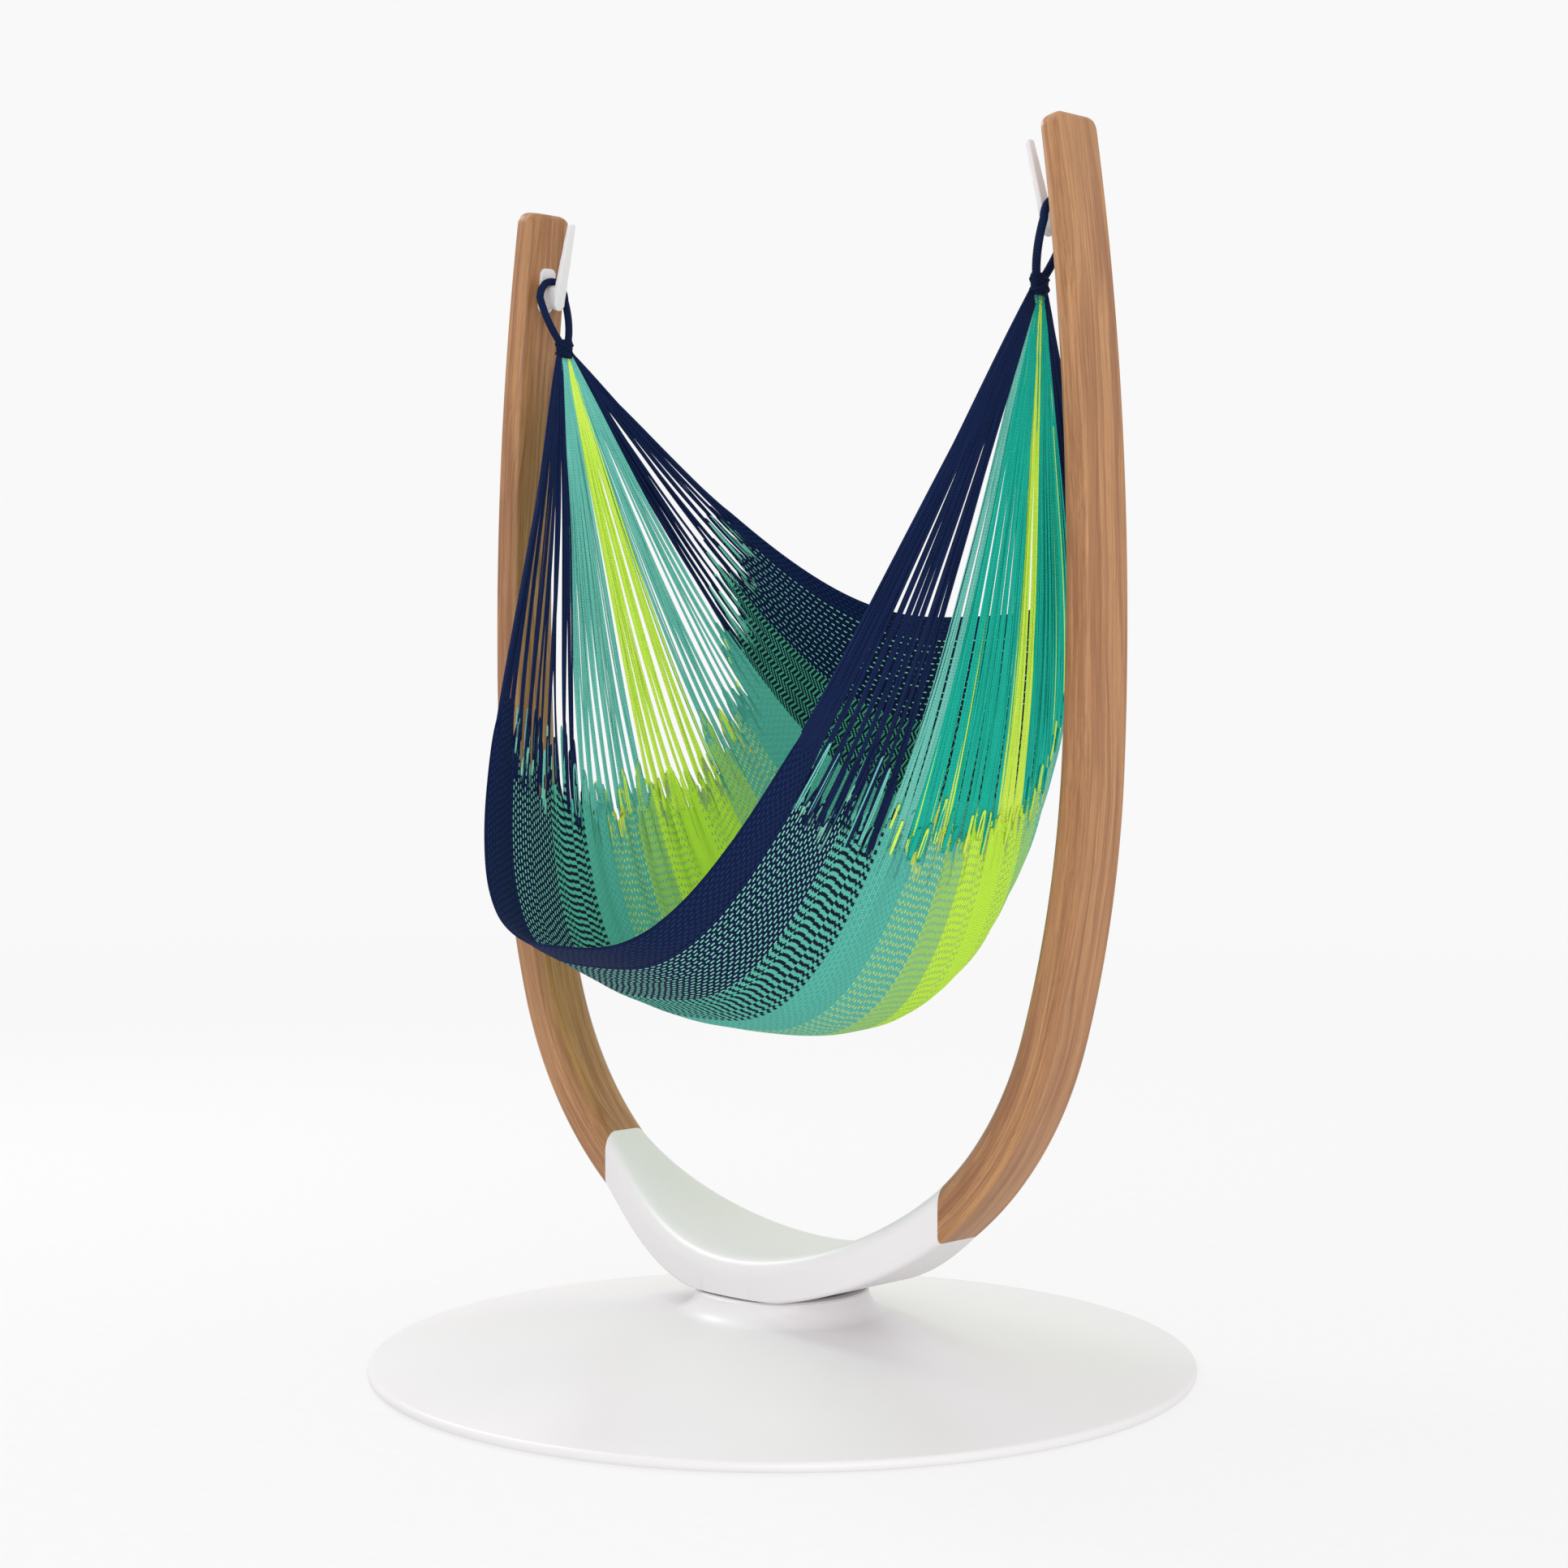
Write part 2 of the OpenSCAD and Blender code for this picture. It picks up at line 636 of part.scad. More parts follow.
function grid_over(u0, u1, n, row) = [for (i = [0:n]) let (u = mix(u0, u1, i / n)) row(u)];

module woven_bed() {
    color(teal) skin(
        grid_over(front_u, back_u, fan_count * fan_rows, function(u) [for (x = bed_row(u, 26)) [u, x]]),
        front_cloth_t,
        back_cloth_t
    );
}

function whole_row(u) = concat(
    [for (x = reversed(fan_row(u, 7))) [u, -x]],
    [for (x = bed_row(u, 26)) if (abs(x) < bed_edge(u) - 1) [u, x]],
    [for (x = fan_row(u, 7)) [u, x]]
);

module front_selvage() {
    color(navy) skin(grid_over(0, front_u - seam_u, 2, function(u) whole_row(u)), front_edge_t, front_edge_t);
}

module back_selvage() {
    color(navy) skin(grid_over(back_u + seam_u, 1, 2, function(u) whole_row(u)), back_edge_t, back_edge_t);
}

module strings(left, part) {
    row = function(u) [for (x = fan_row(u, 7)) [u, x]];
    low_u = mix(front_u, back_u, part / fan_count);
    high_u = mix(front_u, back_u, (part + 1) / fan_count);
    color([navy, lime, teal][part]) mirror_left(left) {
        skin(grid_over(low_u + seam_u, high_u - seam_u, fan_rows, row), front_cloth_t, back_cloth_t);
    }
}

base_shell();
ballast_plate();
floor_pads();
base_screws();
bearing_lower_race();
bearing_balls();
lower_race_screws();
upper_bush();
lower_bush();
bearing_upper_race();
upper_race_screws();
spindle();
spindle_bolts();
retaining_washer();
lock_nut();
saddle();
tongue(true);  // left_tongue
tongue(false);  // right_tongue
joint_bolts(true);  // left_joint_bolts
joint_bolts(false);  // right_joint_bolts
arm(true);  // left_arm
arm(false);  // right_arm
hook(true);  // left_hook
hook(false);  // right_hook
hook_studs(true);  // left_hook_studs
hook_studs(false);  // right_hook_studs
rope_loop(true);  // left_rope_loop
rope_loop(false);  // right_rope_loop
whipping(true);  // left_whipping
whipping(false);  // right_whipping
strings(true, 0);  // left_front_strings
strings(true, 1);  // left_seat_strings
strings(true, 2);  // left_back_strings
strings(false, 0);  // right_front_strings
strings(false, 1);  // right_seat_strings
strings(false, 2);  // right_back_strings
woven_bed();
front_selvage();
back_selvage();
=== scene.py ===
# Hammock on a swivelling stand: the visual model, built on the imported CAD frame. Metres, +Z up.
import math

import bmesh
import bpy
import numpy as np
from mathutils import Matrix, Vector


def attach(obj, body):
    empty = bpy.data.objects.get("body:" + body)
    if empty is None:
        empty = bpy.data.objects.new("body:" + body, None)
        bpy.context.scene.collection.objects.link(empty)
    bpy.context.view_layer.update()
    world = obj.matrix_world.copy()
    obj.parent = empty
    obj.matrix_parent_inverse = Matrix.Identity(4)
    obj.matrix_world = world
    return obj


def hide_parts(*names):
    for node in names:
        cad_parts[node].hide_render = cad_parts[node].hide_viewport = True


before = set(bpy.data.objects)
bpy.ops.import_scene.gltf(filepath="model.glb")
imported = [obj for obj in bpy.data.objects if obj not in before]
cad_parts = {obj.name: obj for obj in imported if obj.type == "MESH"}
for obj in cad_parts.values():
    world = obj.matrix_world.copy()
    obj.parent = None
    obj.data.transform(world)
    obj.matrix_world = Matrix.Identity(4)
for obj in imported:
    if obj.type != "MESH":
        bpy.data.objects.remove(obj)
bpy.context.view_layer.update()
scene = bpy.context.scene
rng = np.random.default_rng(7)


# ---- camera, lights and floor ----

FLOOR_R, FLOOR_SIDES = 60, 96


def make_camera():
    data = bpy.data.cameras.new("camera")
    data.lens = 64.3
    data.sensor_width = 36
    data.clip_end = 200
    camera = bpy.data.objects.new("camera", data)
    scene.collection.objects.link(camera)
    camera.location = (2.905, -2.941, 0.973)
    back = Vector((0.702, -0.7116, 0.027))
    camera.rotation_euler = (-back).to_track_quat("-Z", "Y").to_euler()
    scene.camera = camera


def area_light(name, place, target, size, power):
    data = bpy.data.lights.new(name, "AREA")
    data.shape = "DISK"
    data.size = size
    data.energy = power
    light = bpy.data.objects.new(name, data)
    scene.collection.objects.link(light)
    light.location = place
    aim = Vector(target) - Vector(place)
    light.rotation_euler = aim.to_track_quat("-Z", "Y").to_euler()


def make_world():
    world = bpy.data.worlds.new("studio")
    scene.world = world
    world.use_nodes = True
    nodes = world.node_tree.nodes
    links = world.node_tree.links
    place = nodes.new("ShaderNodeTexCoord")
    split = nodes.new("ShaderNodeSeparateXYZ")
    ramp = nodes.new("ShaderNodeValToRGB")
    links.new(place.outputs["Generated"], split.inputs[0])
    links.new(split.outputs["Z"], ramp.inputs["Fac"])
    ramp.color_ramp.interpolation = "EASE"
    ramp.color_ramp.elements[0].position = 0.12
    ramp.color_ramp.elements[0].color = (0.945, 0.945, 0.945, 1)
    ramp.color_ramp.elements[1].position = 0.75
    ramp.color_ramp.elements[1].color = (0.98, 0.98, 0.985, 1)
    links.new(ramp.outputs["Color"], nodes["Background"].inputs["Color"])


def make_floor():
    """A pale disc that glows a little, so that it meets the backdrop without a line."""
    mesh = bpy.data.meshes.new("floor")
    turn = np.linspace(0, 2 * math.pi, FLOOR_SIDES, endpoint=False)
    ring = [(FLOOR_R * math.cos(a), FLOOR_R * math.sin(a), 0) for a in turn]
    mesh.from_pydata(ring, [], [list(range(FLOOR_SIDES))])
    floor = bpy.data.objects.new("floor", mesh)
    scene.collection.objects.link(floor)
    paint = Material("studio_floor", (0.16, 0.16, 0.16), 0.95, specular=0.0)
    grain = paint.noise(paint.coordinates("Object"), 40, 3)
    paint.color(paint.blend(paint.fit(grain, 0.3, 0.7), (0.155, 0.155, 0.155), (0.165, 0.165, 0.165)))
    paint.shader.inputs["Emission Color"].default_value = (1, 1, 1, 1)
    away = paint.node("ShaderNodeVectorMath", operation="LENGTH")
    paint.feed(away.inputs[0], paint.coordinates("Object"))
    glow = paint.fit(away.outputs["Value"], 1.0, 9.0, 0.757, 0.791)
    paint.feed(paint.shader.inputs["Emission Strength"], glow)
    floor.data.materials.append(paint.material)


# ---- node materials ----

class Material:
    """A Principled material with short calls for the nodes that feed it."""

    def __init__(self, name, color, roughness, metallic=0.0, sheen=0.0, coat=0.0, specular=0.5):
        self.material = bpy.data.materials.new(name)
        self.material.use_nodes = True
        self.tree = self.material.node_tree
        self.shader = self.tree.nodes["Principled BSDF"]
        self.shader.inputs["Base Color"].default_value = (*color, 1)
        self.shader.inputs["Roughness"].default_value = roughness
        self.shader.inputs["Metallic"].default_value = metallic
        self.shader.inputs["Specular IOR Level"].default_value = specular
        self.shader.inputs["Sheen Weight"].default_value = sheen
        self.shader.inputs["Sheen Roughness"].default_value = 0.4
        self.shader.inputs["Coat Weight"].default_value = coat
        self.shader.inputs["Coat Roughness"].default_value = 0.25

    def node(self, kind, **settings):
        made = self.tree.nodes.new(kind)
        for name, value in settings.items():
            setattr(made, name, value)
        return made

    def feed(self, socket, value):
        if isinstance(value, bpy.types.NodeSocket):
            self.tree.links.new(value, socket)
        elif isinstance(value, tuple) and socket.type == "RGBA":
            socket.default_value = (*value, 1)
        else:
            socket.default_value = value

    def attribute(self, name):
        return self.node("ShaderNodeAttribute", attribute_name=name).outputs["Vector"]

    def coordinates(self, name):
        return self.node("ShaderNodeTexCoord").outputs[name]

    def split(self, vector):
        made = self.node("ShaderNodeSeparateXYZ")
        self.feed(made.inputs[0], vector)
        return made.outputs[0], made.outputs[1], made.outputs[2]

    def join(self, x, y, z=0.0):
        made = self.node("ShaderNodeCombineXYZ")
        for socket, value in zip(made.inputs, (x, y, z)):
            self.feed(socket, value)
        return made.outputs[0]

    def stretch(self, vector, scale):
        made = self.node("ShaderNodeVectorMath", operation="MULTIPLY")
        self.feed(made.inputs[0], vector)
        self.feed(made.inputs[1], scale)
        return made.outputs[0]

    def math(self, operation, a, b=0.0, c=0.0):
        made = self.node("ShaderNodeMath", operation=operation)
        for socket, value in zip(made.inputs, (a, b, c)):
            self.feed(socket, value)
        return made.outputs[0]

    def fit(self, value, low, high, to_low=0.0, to_high=1.0, smooth=False):
        kind = "SMOOTHSTEP" if smooth else "LINEAR"
        made = self.node("ShaderNodeMapRange", interpolation_type=kind)
        for socket, item in zip(made.inputs, (value, low, high, to_low, to_high)):
            self.feed(socket, item)
        return made.outputs[0]

    def noise(self, vector, scale, detail=2.0, rough=0.5):
        made = self.node("ShaderNodeTexNoise")
        self.feed(made.inputs["Vector"], vector)
        made.inputs["Scale"].default_value = scale
        made.inputs["Detail"].default_value = detail
        made.inputs["Roughness"].default_value = rough
        return made.outputs[0]

    def random(self, vector):
        made = self.node("ShaderNodeTexWhiteNoise", noise_dimensions="3D")
        self.feed(made.inputs["Vector"], vector)
        return made.outputs["Value"]

    def blend(self, factor, a, b, kind="MIX"):
        made = self.node("ShaderNodeMix", data_type="RGBA", blend_type=kind)
        self.feed(made.inputs[0], factor)
        self.feed(made.inputs[6], a)
        self.feed(made.inputs[7], b)
        return made.outputs[2]

    def steps(self, value, stops):
        made = self.node("ShaderNodeValToRGB")
        ramp = made.color_ramp
        ramp.interpolation = "CONSTANT"
        ramp.elements.remove(ramp.elements[1])
        ramp.elements[0].position = stops[0][0]
        ramp.elements[0].color = (*stops[0][1], 1)
        for place, color in stops[1:]:
            ramp.elements.new(place).color = (*color, 1)
        self.feed(made.inputs[0], value)
        return made.outputs[0]

    def bump(self, height, distance, strength=1.0):
        made = self.node("ShaderNodeBump")
        made.inputs["Distance"].default_value = distance
        made.inputs["Strength"].default_value = strength
        self.feed(made.inputs["Height"], height)
        self.feed(self.shader.inputs["Normal"], made.outputs[0])

    def color(self, value):
        self.feed(self.shader.inputs["Base Color"], value)

    def roughness(self, value):
        self.feed(self.shader.inputs["Roughness"], value)


def powder_coat():
    m = Material("powder_coat", (0.76, 0.737, 0.746), 0.42, coat=0.05)
    at = m.coordinates("Object")
    peel = m.noise(at, 420, 2)
    cloud = m.noise(at, 3.5, 3)
    m.color(m.blend(m.fit(cloud, 0.3, 0.7), (0.745, 0.722, 0.731), (0.775, 0.752, 0.760)))
    m.roughness(m.fit(cloud, 0.3, 0.7, 0.34, 0.44))
    m.bump(peel, 0.00025, 0.5)
    return m.material


def hardwood():
    m = Material("hardwood", (0.5, 0.26, 0.12), 0.42, coat=0.05)
    at = m.attribute("grain")
    warp = m.noise(m.stretch(at, (1.6, 6, 6)), 1.0, 3)
    along, wide, deep = m.split(at)
    bent = m.math("MULTIPLY_ADD", warp, 0.05, wide)
    place = m.join(along, bent, deep)
    broad = m.noise(m.stretch(place, (0.9, 24, 24)), 1.0, 3)
    fine = m.noise(m.stretch(place, (5, 300, 300)), 1.0, 3, 0.65)
    pores = m.noise(m.stretch(place, (34, 900, 900)), 1.0, 2, 0.6)
    rings = m.math("SINE", m.math("MULTIPLY_ADD", broad, 34, m.math("MULTIPLY", bent, 210)))
    streaks = m.math("MULTIPLY_ADD", fine, 0.95, m.math("MULTIPLY", broad, 0.5))
    tone = m.math("MULTIPLY_ADD", rings, 0.10, streaks)
    base = m.blend(m.fit(tone, 0.52, 0.98), (0.270, 0.108, 0.038), (0.490, 0.245, 0.098))
    dots = m.fit(pores, 0.58, 0.70, 0.0, 0.6)
    m.color(m.blend(dots, base, (0.20, 0.080, 0.033)))
    m.roughness(m.fit(fine, 0.3, 0.7, 0.36, 0.52))
    m.bump(m.math("ADD", fine, m.math("MULTIPLY", pores, 0.6)), 0.0004, 0.35)
    return m.material


def metal(name, color, roughness):
    m = Material(name, color, roughness, metallic=1.0)
    at = m.coordinates("Object")
    brushed = m.noise(m.stretch(at, (60, 60, 900)), 1.0, 2)
    dark = tuple(0.8 * c for c in color)
    m.color(m.blend(m.fit(brushed, 0.3, 0.7), dark, color))
    m.roughness(m.fit(brushed, 0.3, 0.7, roughness - 0.08, roughness + 0.1))
    m.bump(brushed, 0.0002, 0.3)
    return m.material


def rubber():
    m = Material("rubber", (0.02, 0.02, 0.022), 0.7)
    speck = m.noise(m.coordinates("Object"), 500, 3)
    m.color(m.blend(m.fit(speck, 0.3, 0.7), (0.016, 0.016, 0.018), (0.035, 0.035, 0.037)))
    m.bump(speck, 0.0004, 0.5)
    return m.material


def yarn(name, dark, light, turns):
    """Twisted yarn: the strand attribute holds (metres along, cosine and sine of the turn round it)."""
    m = Material(name, light, 0.8, sheen=0.02, specular=0.1)
    along, turn_x, turn_y = m.split(m.attribute("strand"))
    spin = m.math("MULTIPLY", along, turns)
    twist = m.math("ADD", m.math("MULTIPLY", m.math("SINE", spin), turn_x),
                   m.math("MULTIPLY", m.math("COSINE", spin), turn_y))
    shade = m.noise(m.join(m.math("MULTIPLY", along, 9), 0.0, 0.0), 1.0, 3)
    fuzz = m.noise(m.coordinates("Object"), 1500, 2)
    uneven = m.math("MULTIPLY_ADD", fuzz, 0.3, m.math("MULTIPLY", shade, 0.8))
    # Painted light and shade: the colour is lighter on the twist's ridges and darker in its grooves, over
    # the uneven tone.
    tone = m.math("MULTIPLY_ADD", twist, 0.09, uneven)
    m.color(m.blend(m.fit(tone, 0.25, 0.85), dark, light))
    m.bump(m.math("MULTIPLY_ADD", fuzz, 0.5, twist), 0.0006, 0.6)
    return m.material


NAVY = (0.0035, 0.0115, 0.055)
SOFT_NAVY = (0.011, 0.032, 0.115)
BLUE_BLACK = (0.003, 0.012, 0.028)
TEAL = (0.115, 0.53, 0.43)
SOFT_TEAL = (0.078, 0.42, 0.345)
MINT = (0.24, 0.66, 0.50)
GREEN = (0.09, 0.46, 0.33)
STRAW = (0.66, 0.80, 0.12)
LIME = (0.60, 0.98, 0.07)
OLIVE = (0.36, 0.56, 0.20)
PEA = (0.40, 0.72, 0.17)

# Bands from front to back edge: where each ends (metres across the cloth), ground, second yarn, pattern.
# Patterns: (staggered dashes, cross stripes, thin dashes in rows). Part values are a finer kind of the same.
DASHES = (1, 0, 0)
STRIPES = (0, 1, 0)
ROWS = (0, 0, 1)
FEW = (0.6, 0, 0)
HERRING = (0, 0.5, 0)
BANDS = [
    (0.066, NAVY, SOFT_NAVY, DASHES),
    (0.180, NAVY, MINT, DASHES),
    (0.285, BLUE_BLACK, TEAL, STRIPES),
    (0.356, TEAL, SOFT_TEAL, DASHES),
    (0.442, TEAL, STRAW, ROWS),
    (0.512, PEA, TEAL, ROWS),
    (0.585, LIME, OLIVE, ROWS),
    (0.652, LIME, LIME, ROWS),
    (0.730, LIME, OLIVE, ROWS),
    (0.800, PEA, TEAL, ROWS),
    (0.890, TEAL, STRAW, ROWS),
    (1.005, TEAL, SOFT_TEAL, DASHES),
    (1.135, BLUE_BLACK, GREEN, HERRING),
    (1.265, NAVY, MINT, FEW),
    (1.400, NAVY, SOFT_NAVY, DASHES),
]
CLOTH_WIDTH = 1.3045
# Pitch of the yarns, of the rows of stripes, of the dashes, herringbone, stitches and end streaks, in metres
YARN = 0.0031
ROW = 0.0128
DASH = 0.0122
HERRING_ROW = 0.0086
STITCH = 0.0045
STREAK = 0.026


def band_stops(item):
    starts = [0.0] + [band[0] / CLOTH_WIDTH for band in BANDS[:-1]]
    return [(start, band[item]) for start, band in zip(starts, BANDS)]


def off_centre(m, value):
    """How far the value's fraction is from a half: 0 in the middle of each step, 0.5 at its ends."""
    return m.math("ABSOLUTE", m.math("SUBTRACT", m.math("FRACT", value), 0.5))


def dash_pattern(m, kind, number, luck, steady, across_yarn, other):
    """Staggered dashes, on every second yarn, or on every third one where they are sparse."""
    sparse = m.math("LESS_THAN", kind, 0.8)
    third = m.math("COMPARE", m.math("MODULO", m.math("ABSOLUTE", number), 3.0), 0.0, 0.1)
    picked = m.fit(sparse, 0, 1, other, third)
    slant = m.math("MULTIPLY_ADD", number, m.fit(sparse, 0, 1, 0.25, 1 / 6), m.math("MULTIPLY", luck, 0.3))
    from_middle = off_centre(m, m.math("ADD", m.math("DIVIDE", steady, DASH), slant))
    long = m.fit(kind, 0.6, 1.0, 0.21, 0.235)
    slim = m.fit(kind, 0.6, 1.0, 0.26, 0.34)
    thin = m.fit(across_yarn, slim, m.math("ADD", slim, 0.1), 1, 0)
    dash = m.math("MULTIPLY", m.fit(m.math("SUBTRACT", from_middle, long), 0, 0.08, 1, 0), thin)
    return m.math("MULTIPLY", m.math("MULTIPLY", dash, picked), m.math("GREATER_THAN", kind, 0.3))


def stripe_pattern(m, kind, number, steady, row_phase):
    """Stripes across the cloth, straight or as a fine herringbone."""
    zigzag = off_centre(m, m.math("DIVIDE", number, 10))
    bone_at = m.math("MULTIPLY_ADD", zigzag, 2.4, m.math("DIVIDE", steady, HERRING_ROW))
    shown = m.math("GREATER_THAN", kind, 0.25)
    bones = m.math("MULTIPLY", m.fit(off_centre(m, bone_at), 0.12, 0.23, 1, 0), shown)
    straight = m.fit(row_phase, 0.22, 0.30, 1, 0)
    stripes = m.fit(m.math("GREATER_THAN", kind, 0.75), 0, 1, bones, straight)
    return m.math("MULTIPLY", stripes, shown)


def end_streaks(m, number, along):
    """Near the weave's end the two yarns part into short streaks."""
    pair = m.math("FLOOR", m.math("DIVIDE", number, 2))
    pair_luck = m.random(m.join(pair, 5.0))
    piece = m.math("FLOOR", m.math("ADD", m.math("DIVIDE", along, STREAK), pair_luck))
    return m.fit(m.random(m.join(pair, piece)), 0.52, 0.60)


def woven():
    """The weave attribute holds metres across, along from the middle, and from the weave's end."""
    m = Material("woven_net", (0.1, 0.4, 0.33), 0.85, sheen=0.015, specular=0.08)
    at = m.attribute("weave")
    place, along, left = m.split(at)
    wave = m.math("SUBTRACT", m.noise(m.stretch(at, (16, 16, 0)), 1.0, 2), 0.5)
    sway = m.math("SUBTRACT", m.noise(m.stretch(at, (7, 5, 0)), 1.0, 1), 0.5)
    count = m.math("DIVIDE", m.math("MULTIPLY_ADD", wave, 0.003, place), YARN)
    number = m.math("FLOOR", count)
    across_yarn = off_centre(m, count)
    luck = m.random(m.join(number, 3.0))
    steady = m.math("MULTIPLY_ADD", sway, 0.016, m.math("MULTIPLY_ADD", wave, 0.004, along))
    band_at = m.math("DIVIDE", m.math("MULTIPLY", number, YARN), CLOTH_WIDTH)
    ground = m.steps(band_at, band_stops(1))
    second = m.steps(band_at, band_stops(2))
    dash_kind, stripe_kind, row_kind = m.split(m.steps(band_at, band_stops(3)))

    other = m.math("MODULO", m.math("ABSOLUTE", number), 2.0)
    dashes = dash_pattern(m, dash_kind, number, luck, steady, across_yarn, other)
    row_phase = off_centre(m, m.math("ADD", m.math("DIVIDE", steady, ROW), m.math("MULTIPLY", luck, 0.38)))
    stripes = stripe_pattern(m, stripe_kind, number, steady, row_phase)
    thin = m.fit(across_yarn, 0.34, 0.44, 1, 0)
    rows = m.math("MULTIPLY", m.math("MULTIPLY", m.fit(row_phase, 0.17, 0.25, 1, 0), thin), other)
    plain = m.math("ADD", m.math("ADD", dashes, stripes), m.math("MULTIPLY", rows, row_kind))
    streaks = end_streaks(m, number, along)
    ragged = m.math("MULTIPLY_ADD", m.math("SUBTRACT", luck, 0.5), 0.03, left)
    at_end = m.fit(ragged, 0.035, 0.055, 1, 0)
    pattern = m.blend(at_end, m.join(plain, plain, plain), m.join(streaks, streaks, streaks))
    weave_relief(m, m.blend(pattern, ground, second), across_yarn, steady, number)
    return m.material


def weave_relief(m, mixed, across_yarn, steady, number):
    """Grooves between the yarns and knots along them, in the bump, and in the colour as painted shade that
    darkens the grooves and knots, over a random tone from the fuzz.
    """
    groove = m.fit(across_yarn, 0.30, 0.5, 0.0, 1.0, smooth=True)
    stitch = m.math("ADD", m.math("DIVIDE", steady, STITCH), m.math("MULTIPLY", number, 0.5))
    knot = m.fit(off_centre(m, stitch), 0.28, 0.5, 0.0, 1.0, smooth=True)
    fuzz = m.noise(m.coordinates("Object"), 900, 2)
    # Painted shade: the colour is darkened at the knots here and in the grooves between the yarns below. The
    # fuzz adds a random lighter tone.
    knot_shade_and_fuzz = m.math("MULTIPLY_ADD", knot, -0.2, m.fit(fuzz, 0.3, 0.7, 1.0, 1.2))
    groove_knot_shade_and_fuzz = m.math("MULTIPLY_ADD", groove, -0.28, knot_shade_and_fuzz)
    # The painted shade of grooves and knots multiplies the band colours.
    m.color(m.blend(1.0, mixed, m.join(groove_knot_shade_and_fuzz, groove_knot_shade_and_fuzz, groove_knot_shade_and_fuzz), "MULTIPLY"))
    knot_depth = m.math("MULTIPLY_ADD", knot, -0.7, m.math("MULTIPLY", fuzz, 0.3))
    m.bump(m.math("MULTIPLY_ADD", groove, -1.0, knot_depth), 0.0014, 0.7)


# ---- mesh helpers: shapes are worked out in millimetres and made in metres ----

def mesh_object(name, points, faces, material, sharp=None, body=None):
    mesh = bpy.data.meshes.new(name)
    mesh.from_pydata((np.asarray(points) / 1000).tolist(), [], faces)
    mesh.polygons.foreach_set("use_smooth", [True] * len(mesh.polygons))
    if sharp:
        mesh.set_sharp_from_angle(angle=math.radians(sharp))
    obj = bpy.data.objects.new(name, mesh)
    scene.collection.objects.link(obj)
    mesh.materials.append(material)
    if body:
        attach(obj, body)
    return obj


def set_vector(obj, name, values):
    made = obj.data.attributes.new(name, "FLOAT_VECTOR", "POINT")
    made.data.foreach_set("vector", np.asarray(values, np.float32).ravel())


def grid_faces(rows, cols, wrap, start=0):
    last = cols if wrap else cols - 1
    return [
        (start + i * cols + j, start + i * cols + (j + 1) % cols,
         start + (i + 1) * cols + (j + 1) % cols, start + (i + 1) * cols + j)
        for i in range(rows - 1) for j in range(last)
    ]


def loft(rings):
    rings = np.asarray(rings, float)
    count, size = rings.shape[:2]
    faces = grid_faces(count, size, True)
    faces.append(list(range(size))[::-1])
    faces.append([(count - 1) * size + j for j in range(size)])
    return rings.reshape(-1, 3), faces


def mix(a, b, f):
    return a + (b - a) * f


def ease(f):
    f = np.clip(f, 0, 1)
    return f * f * (3 - 2 * f)


# ---- base: one revolved casting ----

RIM_R, RIM_H, RIM_LOW = 610.0, 18.0, 3.0
HUB_R, HUB_H, SHELL_T = 127.0, 117.0, 7.0
CONE_A = 8.3             # slope of the top, in degrees
BASE_SIDES = 192


def base_profile():
    flare_c = np.array([HUB_R + 37, HUB_H + 1])
    angles = np.radians(np.linspace(2, 90 - CONE_A, 24))
    flare = [flare_c - 36 * np.array([math.cos(a), math.sin(a)]) for a in angles]
    flare = [p for p in flare if p[1] < HUB_H - 2]
    cone = [mix(flare[-1], np.array([RIM_R - 8, RIM_H]), f) for f in np.linspace(0, 1, 16)[1:-1]]
    rim_c = np.array([RIM_R - 8, RIM_H - 8])
    rim = [rim_c + 8 * np.array([math.cos(a), math.sin(a)]) for a in np.radians(np.linspace(84, -58, 14))]
    top = [(0.0, 107.0), (106.0, 107.0), (106.0, HUB_H), (HUB_R - 1.5, HUB_H), (HUB_R - 0.4, HUB_H - 0.5),
           (HUB_R, HUB_H - 1.6)]
    low = [(RIM_R - 8, RIM_LOW), (RIM_R - 16, RIM_LOW), (RIM_R - 16, RIM_H - SHELL_T),
           (flare[-1][0], flare[-1][1] - SHELL_T), (117.0, 93.0), (32.0, 93.0), (32.0, 26.0), (0.0, 26.0)]
    return np.array(top + [tuple(p) for p in flare + cone + rim] + low)


def build_base(paint):
    profile = base_profile()
    around = np.linspace(0, 2 * math.pi, BASE_SIDES, endpoint=False)
    rings = [np.c_[profile[:, 0] * math.cos(a), profile[:, 0] * math.sin(a), profile[:, 1]] for a in around]
    points = np.array(rings)
    size = len(profile)
    faces = []
    for i in range(BASE_SIDES):
        k = (i + 1) % BASE_SIDES
        faces += [(i * size + j, i * size + j + 1, k * size + j + 1, k * size + j) for j in range(size - 1)]
    base = mesh_object("base_casting", points.reshape(-1, 3), faces, paint, 32, "base")
    weld(base)
    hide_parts("base_shell")


def weld(obj):
    made = bmesh.new()
    made.from_mesh(obj.data)
    bmesh.ops.remove_doubles(made, verts=made.verts, dist=1e-5)
    bmesh.ops.recalc_face_normals(made, faces=made.faces)
    made.to_mesh(obj.data)
    made.free()


# ---- frame: the outer face follows three tangent arcs, a is the tangent's angle from vertical ----

